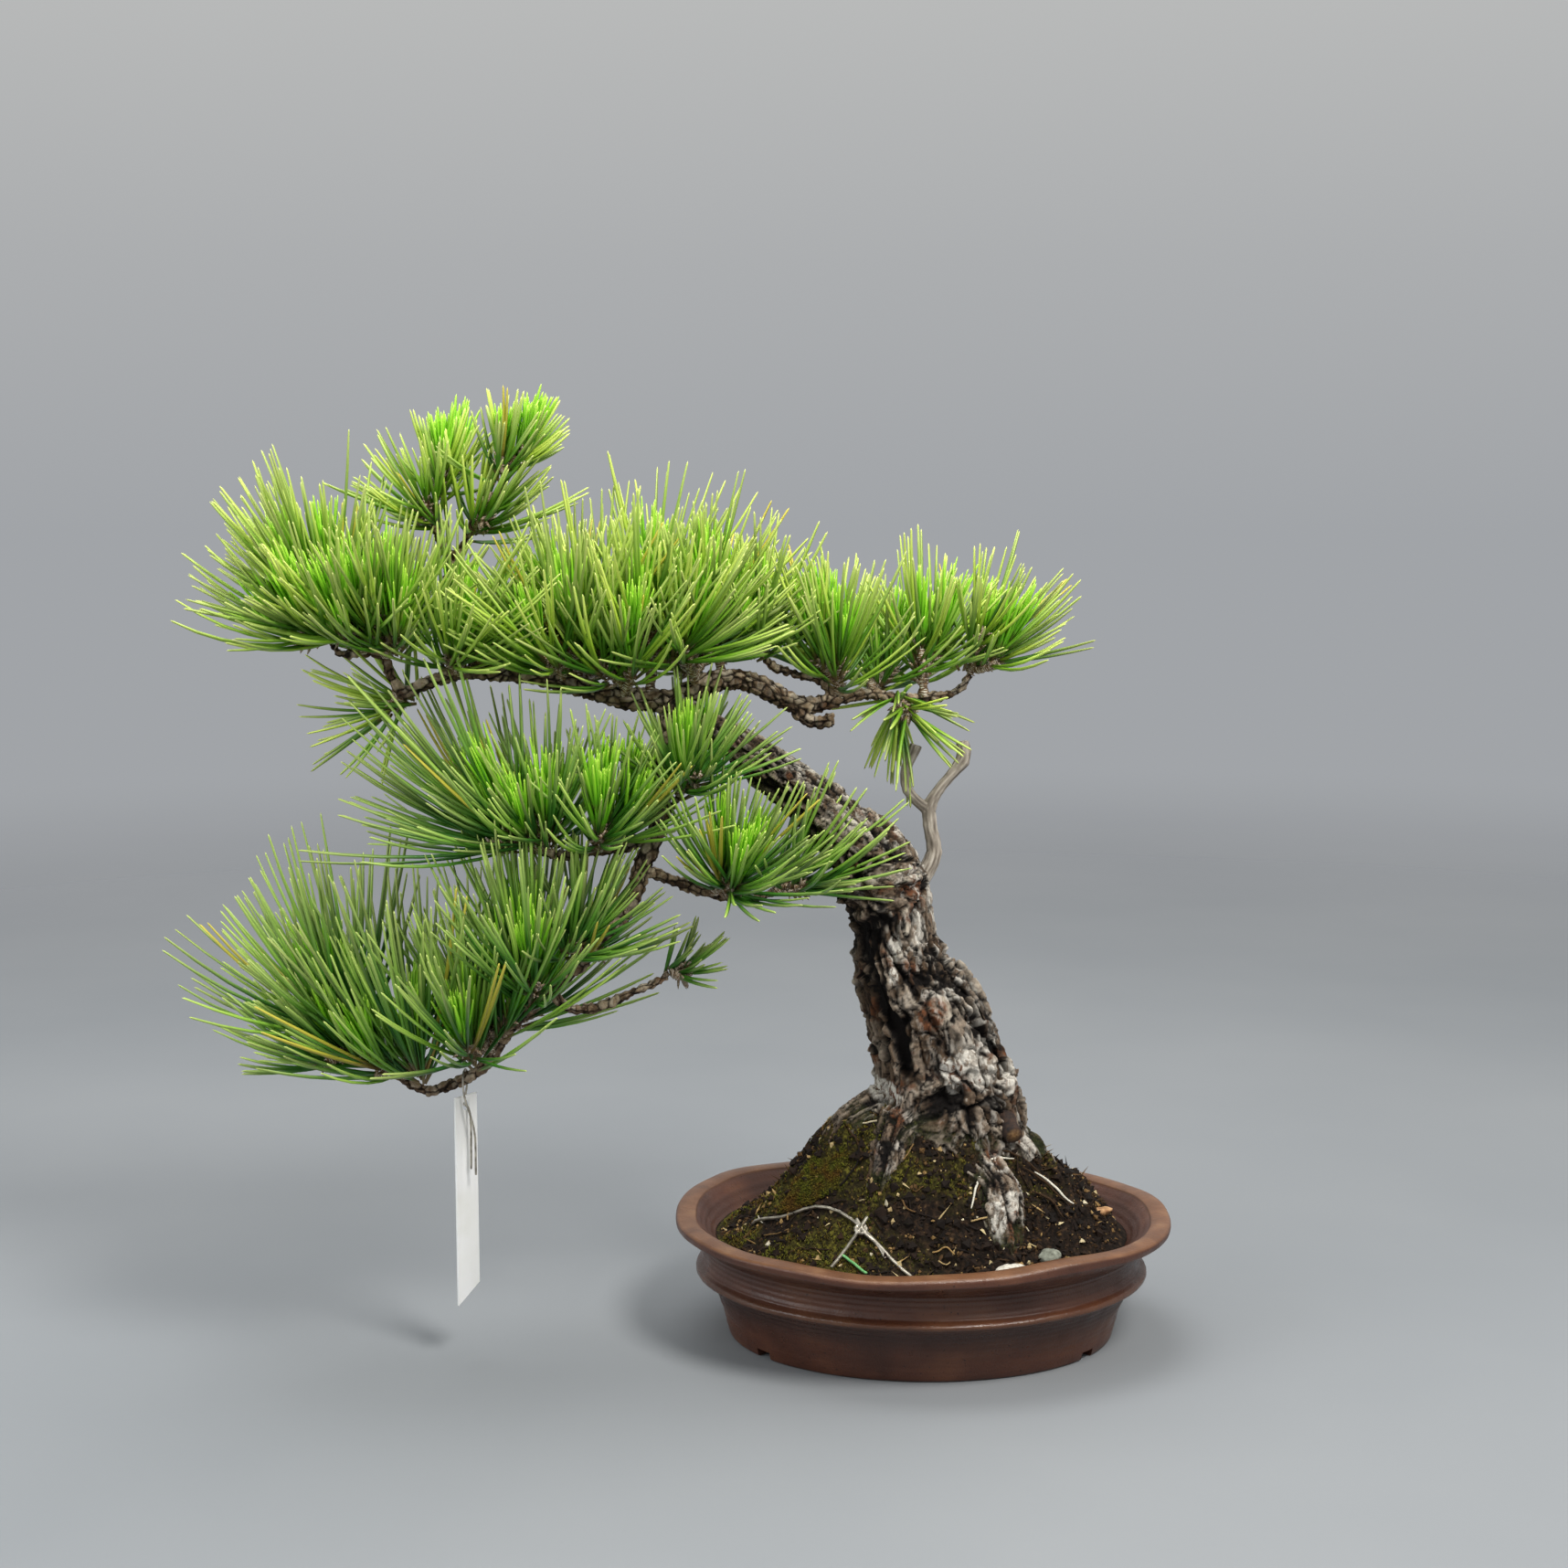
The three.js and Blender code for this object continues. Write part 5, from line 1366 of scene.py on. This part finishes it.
OLD_BARK = {
    "plates": [(0.05, "#35261c"), (0.3, "#66523f"), (0.5, "#8c7966"), (0.7, "#b5a592"), (0.95, "#d9ccb8")],
    "crevice_shade": "#0d0806",
    "patch": "#7a4c31",
    "lichen_and_highlight": "#e6e0d4",
    "patch_share": 0.57,
    "lichen_share": 0.85,
}
YOUNG_BARK = {
    "plates": [(0.1, "#4b392b"), (0.35, "#7a634c"), (0.6, "#a38b70"), (0.9, "#cdb99c")],
    "crevice_shade": "#1e140d",
    "patch": "#7a5638",
    "lichen_and_highlight": "#d2c8b6",
    "patch_share": 0.62,
    "lichen_share": 0.6,
}
BRANCHES = {
    "upper_left_branch": [UPPER_LEFT, UPPER_LEFT_TWIG],
    "apex_branch": [APEX, APEX_TWIG],
    "upper_right_branch": [UPPER_RIGHT, CUT_PRONG, RETURN_TWIG],
    "lower_branch": [LOWER, LOWER_TWIG, INNER_TWIG],
    "middle_left_branch": [MIDDLE_LEFT],
    "middle_right_branch": [MIDDLE_RIGHT],
}


def make_limbs():
    old_bark = bark_material("old_bark", **OLD_BARK)
    young_bark = bark_material("young_bark", **YOUNG_BARK)
    make_trunk(old_bark)
    for node, guides in BRANCHES.items():
        make_branch(node, guides, young_bark)
    make_dead_branch()


# ---- Needles ----

# Each tuft's limb, its bud in the tree's measures, the way it points, its needles' reach, and whether
# it carries a fresh candle.
TUFTS = {
    "upper_left_tip": (UPPER_LEFT_TWIG, (-235, -31, 199), (-0.8, -0.15, 0.6), 60, 1),
    "upper_left_candle": (UPPER_LEFT_TWIG, (-230, -26, 212), (-0.2, 0.05, 1), 62, 1),
    "upper_left_front": (UPPER_LEFT_TWIG, (-217, -37, 199), (-0.3, -0.45, 0.85), 56, 1),
    "upper_left_inner": (UPPER_LEFT_TWIG, (-203, -31, 197), (0.15, -0.3, 0.95), 56, 1),
    "upper_left_under": (UPPER_LEFT, (-207, -17, 171), (-0.75, 0.35, 0.1), 42, 0),
    "upper_left_fan": (UPPER_LEFT, (-181, -33, 189), (0.5, -0.5, 0.7), 58, 1),
    "upper_left_back": (UPPER_LEFT_TWIG, (-218, -16, 197), (-0.25, 0.75, 0.65), 54, 1),
    "apex_top": (APEX, (-189, -13, 258), (0, 0, 1), 30, 1),
    "apex_left": (APEX, (-196, -15, 242), (-0.75, -0.3, 0.5), 40, 0),
    "apex_right": (APEX_TWIG, (-164, -20, 264), (0.2, 0, 1), 32, 1),
    "apex_low": (APEX_TWIG, (-171, -14, 238), (0.75, -0.2, 0.45), 44, 0),
    "centre_front_left": (UPPER_LEFT, (-137, -26, 191), (-0.2, -0.4, 0.95), 68, 1),
    "centre_high_left": (UPPER_LEFT, (-131, -9, 198), (-0.05, 0.15, 1), 66, 1),
    "centre_front": (UPPER_LEFT, (-114, -28, 186), (0.1, -0.55, 0.85), 60, 1),
    "centre_high": (UPPER_LEFT, (-108, -4, 205), (0.1, 0.15, 1), 68, 1),
    "centre_front_right": (UPPER_RIGHT, (-94, -22, 190), (0.7, -0.35, 0.6), 60, 1),
    "centre_right": (UPPER_RIGHT, (-86, -2, 203), (0.45, 0.1, 0.9), 58, 1),
    "centre_back_left": (UPPER_LEFT, (-137, 2, 184), (-0.25, 0.8, 0.6), 58, 1),
    "centre_back_right": (UPPER_RIGHT, (-96, 10, 186), (0.15, 0.8, 0.6), 58, 1),
    "right_return": (RETURN_TWIG, (-67, 0, 195), (0.1, -0.1, 1), 50, 1),
    "right_inner": (UPPER_RIGHT, (-34, 3, 183), (0.1, -0.25, 1), 60, 1),
    "right_candle": (UPPER_RIGHT, (-1, 19, 190), (0.1, 0, 1), 50, 1),
    "right_tip": (UPPER_RIGHT, (24, 22, 185), (0.78, 0, 0.66), 54, 1),
    "right_under": (UPPER_RIGHT, (-9, 13, 161), (0.1, -0.2, -1), 36, 0),
    "right_back": (UPPER_RIGHT, (-19, 25, 177), (-0.1, 0.8, 0.6), 48, 1),
    "middle_left_tip": (MIDDLE_LEFT, (-164, -34, 121), (-0.7, -0.15, 0.8), 86, 1),
    "middle_left_front": (MIDDLE_LEFT, (-147, -40, 124), (0, -0.5, 0.85), 54, 1),
    "middle_left_back": (MIDDLE_LEFT, (-150, -18, 119), (-0.4, 0.7, 0.6), 54, 1),
    "middle_left_inner": (MIDDLE_LEFT, (-126, -34, 123), (0.25, -0.35, 0.9), 52, 1),
    "middle_inner": (INNER_TWIG, (-95, -26, 141), (0.15, -0.3, 0.95), 50, 1),
    "middle_right_front": (MIDDLE_RIGHT, (-80, -26, 103), (0.1, -0.65, 0.75), 60, 1),
    "middle_right_tip": (MIDDLE_RIGHT, (-52, -14, 101), (0.8, -0.15, 0.55), 56, 0),
    "lower_left_tip": (LOWER, (-230, -31, 35), (-0.75, -0.2, 0.62), 52, 1),
    "lower_left_high": (LOWER, (-226, -20, 46), (-0.2, 0.1, 0.97), 86, 1),
    "lower_left_front": (LOWER, (-199, -39, 31), (-0.2, -0.35, 0.93), 90, 1),
    "lower_front": (LOWER, (-177, -42, 38), (-0.1, -0.35, 0.95), 76, 1),
    "lower_high": (LOWER, (-155, -38, 62), (0, -0.2, 1), 72, 1),
    "lower_inner": (LOWER, (-136, -38, 78), (0.6, -0.4, 0.7), 50, 0),
    "lower_back": (LOWER, (-172, -18, 42), (-0.1, 0.65, 0.8), 68, 1),
    "lower_twig_end": (LOWER_TWIG, (-94, -18, 64), (0.9, -0.1, 0.35), 24, 0),
}

RINGS, SIDES = 6, 3  # of a needle
NEEDLE_WIDTH = np.array([0.72, 1.0, 1.0, 0.98, 0.85, 0.55])
SHOOT_RINGS, SHOOT_SIDES = 11, 7
CANDLE_NEEDLES, BUD_SCALES = 46, 16
DRY_SHARE = 0.02  # of the old needles, yellow
REACH_MARGIN = 8  # how far a needle may pass the CAD model's box
REACH_LOW = np.array(CAD_BOX[0]) / MM - REACH_MARGIN
REACH_HIGH = np.array(CAD_BOX[1]) / MM + REACH_MARGIN


def needle_path(root_points, ways, lengths, lift):
    """The centrelines of needles that start along their ways and bend by lift: count x rings x 3."""
    steps = np.arange(RINGS) / (RINGS - 1)
    heading = ways[:, None, :] + steps[None, :, None] * lift[:, None, :]
    heading = unit(heading)
    moves = heading * (lengths / (RINGS - 1))[:, None, None]
    path = np.cumsum(moves, axis=1) - moves[:, :1]
    return root_points[:, None, :] + path, heading


def needle_pattern():
    """One needle's faces by its own points, and the map corners of each face."""
    faces, corners = [], []
    for ring in range(RINGS - 1):
        low, high = ring / RINGS, (ring + 1) / RINGS
        for k in range(SIDES):
            a, b = ring * SIDES + k, ring * SIDES + (k + 1) % SIDES
            faces.append((a, b, b + SIDES, a + SIDES))
            corners.append([(k, low), (k + 1, low), (k + 1, high), (k, high)])
    last, low = (RINGS - 1) * SIDES, (RINGS - 1) / RINGS
    for k in range(SIDES):
        faces.append((last + k, last + (k + 1) % SIDES, RINGS * SIDES))
        corners.append([(k, low), (k + 1, low), (k + 0.5, 1.0)])
    faces.append((2, 1, 0))
    corners.append([(0, 0.0), (1, 0.0), (0.5, 0.02)])
    return faces, [np.array(corner) for corner in corners]


def needle_mesh(root_points, ways, lengths, lift, radii, kinds, rng):
    """Tapered needles: points, faces and map corners. Kinds are the map's first coordinate."""
    for _ in range(6):
        path, heading = needle_path(root_points, ways, lengths, lift)
        tip = path[:, -1]
        outside = ((tip < REACH_LOW) | (tip > REACH_HIGH)).any(axis=1)
        lengths = np.where(outside, lengths * 0.84, lengths)
    count = len(lengths)
    side = unit(np.cross(heading, unit(rng.normal(0, 1, (count, 1, 3)))))
    other = np.cross(heading, side)
    turn = np.arange(SIDES) * TURN / SIDES
    ring = side[:, :, None] * np.cos(turn)[:, None] + other[:, :, None] * np.sin(turn)[:, None]
    width = radii[:, None] * NEEDLE_WIDTH
    rings = path[:, :, None] + ring * width[:, :, None, None]
    end = path[:, -1] + heading[:, -1] * 1.2
    points = np.concatenate([rings.reshape(count, -1, 3), end[:, None]], axis=1)
    pattern, corners = needle_pattern()
    faces, uvs = [], []
    for i in range(count):
        start = i * points.shape[1]
        for face, corner in zip(pattern, corners):
            faces.append(tuple(start + k for k in face))
            uvs.append(np.column_stack([kinds[i] + 0.003 * corner[:, 0], 0.005 + 0.99 * corner[:, 1]]))
    return points.reshape(-1, 3), faces, np.vstack(uvs)


def shoot_faces(share):
    """A shoot's faces and map corners, from its foot to its bud."""
    sides, last = SHOOT_SIDES, (SHOOT_RINGS - 1) * SHOOT_SIDES
    base = STEM[0] + 0.005
    step = (STEM[1] - STEM[0] - 0.02) / sides
    strips = [(base + step * k, base + step * (k + 1)) for k in range(sides)]
    faces, uvs = [], []
    for i in range(SHOOT_RINGS - 1):
        low, high = share[i] * 0.98 + 0.01, share[i + 1] * 0.98 + 0.01
        for k, (left, right) in enumerate(strips):
            a, b = i * sides + k, i * sides + (k + 1) % sides
            faces.append((a, b, b + sides, a + sides))
            uvs += [(left, low), (right, low), (right, high), (left, high)]
    foot = last + sides
    for k, (left, right) in enumerate(strips):
        after = (k + 1) % sides
        faces.append((foot, after, k))
        uvs += [((left + right) / 2, 0.0), (right, 0.02), (left, 0.02)]
        faces.append((foot + 1, last + k, last + after))
        uvs += [((left + right) / 2, 1.0), (left, 0.98), (right, 0.98)]
    return faces, np.array(uvs)


def shoot_mesh(start, end, radius, rng):
    """A scaly brown shoot with a blunt bud at its end: points, faces and map corners."""
    share = np.linspace(0, 1, SHOOT_RINGS)
    sag = rng.normal(0, 0.8, 3)
    centre = start + share[:, None] * (end - start) + np.sin(share * math.pi)[:, None] * sag
    axis = unit((end - start)[None])[0]
    side = unit(np.cross(axis, [0.31, 0.77, 0.55])[None])[0]
    other = np.cross(axis, side)
    turn = np.arange(SHOOT_SIDES) * TURN / SHOOT_SIDES
    taper = radius * (1.1 - 0.15 * share)
    taper[-2:] *= [0.85, 0.35]
    uneven = rng.normal(0, 0.09, (SHOOT_RINGS, SHOOT_SIDES))
    scales = 1 + 0.16 * np.where(np.arange(SHOOT_RINGS) % 2, 1, -1)[:, None] + uneven
    ring = side * np.cos(turn)[:, None] + other * np.sin(turn)[:, None]
    points = centre[:, None] + ring[None] * (taper[:, None] * scales)[..., None]
    points = np.vstack([points.reshape(-1, 3), start, end + axis * 0.8])
    faces, uvs = shoot_faces(share)
    return points, faces, uvs


def cone_of_ways(axis, leans, turns):
    """Directions that lean from the axis at turns round it, and each one's part across the axis."""
    side = unit(np.cross(axis, [0.13, 0.97, 0.21])[None])[0]
    other = np.cross(axis, side)
    across = side * np.cos(turns)[:, None] + other * np.sin(turns)[:, None]
    return axis * np.cos(leans)[:, None] + across * np.sin(leans)[:, None], across


def old_needles(bud, axis, reach, pairs, rng, spread):
    """Last year's needles, in pairs round the shoot below its bud."""
    share = (np.arange(pairs) + 0.5) / pairs
    turns = np.arange(pairs) * GOLDEN_ANGLE + rng.uniform(0, 6.28)
    leans = np.radians(68 - 52 * share**0.9) * spread + rng.normal(0, 0.17, pairs)
    ways, across = cone_of_ways(axis, leans, turns)
    roots = bud - axis * ((1 - share) * 11)[:, None] + across * 1.2
    lengths = reach * rng.triangular(0.55, 0.95, 1.12, pairs) * (0.9 + 0.1 * share)
    rise = np.where(axis[2] > -0.3, 1.0, 0.25)
    lift = np.array([0, 0, 1.0]) * (rng.uniform(0.22, 0.62, pairs) * rise)[:, None] + axis * 0.18
    lift = lift + rng.normal(0, 0.13, (pairs, 3))
    keep = ways[:, 2] > (-0.22 if axis[2] > -0.3 else -2)
    split = unit(np.cross(ways, rng.normal(0, 1, (pairs, 3)))) * rng.uniform(0.03, 0.1, pairs)[:, None]
    kinds = rng.uniform(OLD[0], OLD[1] - 0.02, pairs)
    dry = rng.uniform(0, 1, pairs) < DRY_SHARE
    kinds = np.where(dry, rng.uniform(YELLOW[0], YELLOW[1] - 0.02, pairs), kinds)
    rows = []
    for sign in (-1, 1):
        radii = rng.uniform(0.68, 0.9, pairs)
        scaled = lengths * rng.uniform(0.94, 1.0, pairs)
        rows.append([part[keep] for part in (roots, unit(ways + sign * split), scaled, lift, radii, kinds)])
    return [np.concatenate(columns) for columns in zip(*rows)]


def candle_needles(bud, axis, rng, tall):
    """A fresh candle: a tight upright brush of short bright needles."""
    count = CANDLE_NEEDLES
    up = unit((axis * 0.5 + [0, 0, 0.8])[None])[0]
    share = (np.arange(count) + 0.5) / count
    leans = np.radians(3 + 17 * share) + rng.normal(0, 0.05, count)
    ways, across = cone_of_ways(up, leans, np.arange(count) * GOLDEN_ANGLE)
    roots = bud + up * (rng.uniform(0.5, 0.45 * tall, count))[:, None] + across * (0.6 + 1.2 * share)[:, None]
    lengths = tall * rng.uniform(0.55, 0.95, count)
    lift = -across * 0.12 + rng.normal(0, 0.05, (count, 3))
    radii = rng.uniform(0.6, 0.85, count)
    kinds = rng.uniform(FRESH[0], FRESH[1] - 0.02, count)
    return [roots, ways, lengths, lift, radii, kinds]


def bud_scales(begin, bud, rng):
    """Short stiff scales, brown and white, where needles have dropped from the shoot."""
    count = BUD_SCALES
    axis = unit((bud - begin)[None])[0]
    ways, across = cone_of_ways(axis, rng.uniform(0.5, 1.2, count), np.arange(count) * GOLDEN_ANGLE)
    share = rng.uniform(0.25, 1.0, count)
    roots = begin + (bud - begin) * share[:, None] + across * 1.0
    lengths = rng.uniform(2.0, 4.5, count)
    kinds = rng.uniform(STEM[0], STEM[1] - 0.02, count)
    return [roots, ways, lengths, np.zeros((count, 3)), rng.uniform(0.6, 1.0, count), kinds]


def nearest_on(line, point):
    places = spline(line, 20)
    return places[np.linalg.norm(places - point, axis=1).argmin()]


def side_shoots(foot, bud, axis, reach, has_candle, rng):
    """The lesser shoots beside a tuft's main one: where each ends, its way, needle share and candle."""
    size = tuft_size(reach)
    shoots = []
    for k in range(3 if reach > 48 else 2 if reach > 30 else 1):
        turn = rng.uniform(0, 6.28) + k * 2.1
        ways, across = cone_of_ways(axis, np.radians(rng.uniform(28, 46, 1)), np.array([turn]))
        middle = foot + (bud - foot) * rng.uniform(0.4, 0.8)
        place = middle + unit(ways + 0.7 * across)[0] * rng.uniform(9, 16) * size
        shoots.append((place, ways[0], rng.uniform(0.78, 0.95), has_candle and rng.uniform() < 0.6))
    return shoots


def tuft_size(reach):
    """A tuft's size beside one whose needles reach 58 mm."""
    return np.clip(reach / 58, 0.45, 1.1)


def needle_spread(name):
    """How wide a tuft's needles open: the long lower ones sweep up, and the right-hand ones fan out."""
    if name.startswith(("lower_left", "lower_front", "lower_high")) or name == "middle_left_tip":
        return 0.72
    return 1.12 if name.startswith("right") else 0.96


def make_tuft(name, material, seed):
    """A shoot with its side shoots, buds, old needles and candles, as one piece."""
    limb, bud, way, reach, has_candle = TUFTS[name]
    rng = np.random.default_rng(seed)
    bud = tree([bud])[0]
    axis = unit(np.array([way], float))[0]
    foot = nearest_on(limb, bud)
    size = tuft_size(reach)
    shoots = [(bud, axis, 1.0, has_candle), *side_shoots(foot, bud, axis, reach, has_candle, rng)]
    parts, needles = [], []
    for i, (end, heading, share, candle) in enumerate(shoots):
        begin = foot if i == 0 else foot + (bud - foot) * 0.3
        parts.append(shoot_mesh(begin, end, 1.95 if i == 0 else 1.6, rng))
        pairs = int((18 if i == 0 else 12) * (0.55 + 0.45 * size))
        needles.append(old_needles(end, heading, reach * share, pairs, rng, needle_spread(name)))
        needles.append(bud_scales(begin, end, rng))
        if candle:
            needles.append(candle_needles(end, heading, rng, rng.uniform(21, 32) * (0.5 + 0.5 * size)))
    merged = [np.concatenate(columns) for columns in zip(*needles)]
    parts.append(needle_mesh(*merged, rng))
    points, faces, uvs = join_parts(parts)
    piece = make_object("tuft_" + name, points, faces, material, ["needles_" + name])
    layer = piece.data.uv_layers.new(name="OFBake")
    layer.data.foreach_set("uv", uvs.astype(np.float32).ravel())


def make_needles():
    # Lit and shaded copies of the needles: the lower and middle tufts take the darker copy, a painted shade.
    lit = needle_material("needles_lit", "#3a6c18", "#7cb428", "#c6e248", "#eff592")
    deep = needle_material("needles_shaded", "#275c1c", "#55982d", "#9acb43", "#e0ec8a")
    for index, name in enumerate(TUFTS):
        low = name.startswith(("lower", "middle"))
        make_tuft(name, deep if low else lit, 100 + index)


# ---- Small fittings ----


def make_wires():
    shader = Shader("dull_steel", roughness=0.38, metallic=0.85)
    shader.colour(shader.blotches(3, 4, (0.35, "#8a8478"), (0.65, "#c9c2b2")))
    shader.roughness(shader.blotches(1.4, 3, (0.3, 0.3), (0.7, 0.55)))
    shader.bump(shader.noise(0.3, 2), 0.03, 0.4)
    for node, name in (("anchor_wire", "anchor_wire_twisted"), ("label_wire", "label_wire_bent")):
        points, _, faces = dense_copy(node, 0.24, smoothing=3)
        make_object(name, points, faces, shader.material, [node])


def make_label():
    """The blank plant tag, with softened edges."""
    body = welded_copy("label")
    bmesh.ops.dissolve_limit(body, angle_limit=0.02, verts=body.verts, edges=body.edges)
    worker = object_of(body, "label_worker")
    bevel = worker.modifiers.new("bevel", "BEVEL")
    bevel.width = 0.2 * MM
    bevel.segments = 3
    bevel.limit_method = "ANGLE"
    made = evaluated_mesh(worker)
    bpy.data.objects.remove(worker)
    made.materials.clear()
    material = plain_material("white_plastic", "#f6f6f2", "#ffffff", 18, 0.4, relief=0.03)
    strip = finish_piece("label_strip", made, material, ["label"])
    strip.data.set_sharp_from_angle(angle=math.radians(35))


def make_drainage_meshes():
    material = plain_material("drainage_plastic", "#141414", "#242424", 5, 0.6, relief=0.06)
    for side in ("left", "right"):
        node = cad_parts["drainage_mesh_" + side]
        node.data.materials.clear()
        node.data.materials.append(material)


make_stage()
make_pot()
make_soil()
make_grains()
make_clumps()
make_moss()
make_stones()
make_litter()
make_limbs()
make_needles()
make_wires()
make_label()
make_drainage_meshes()
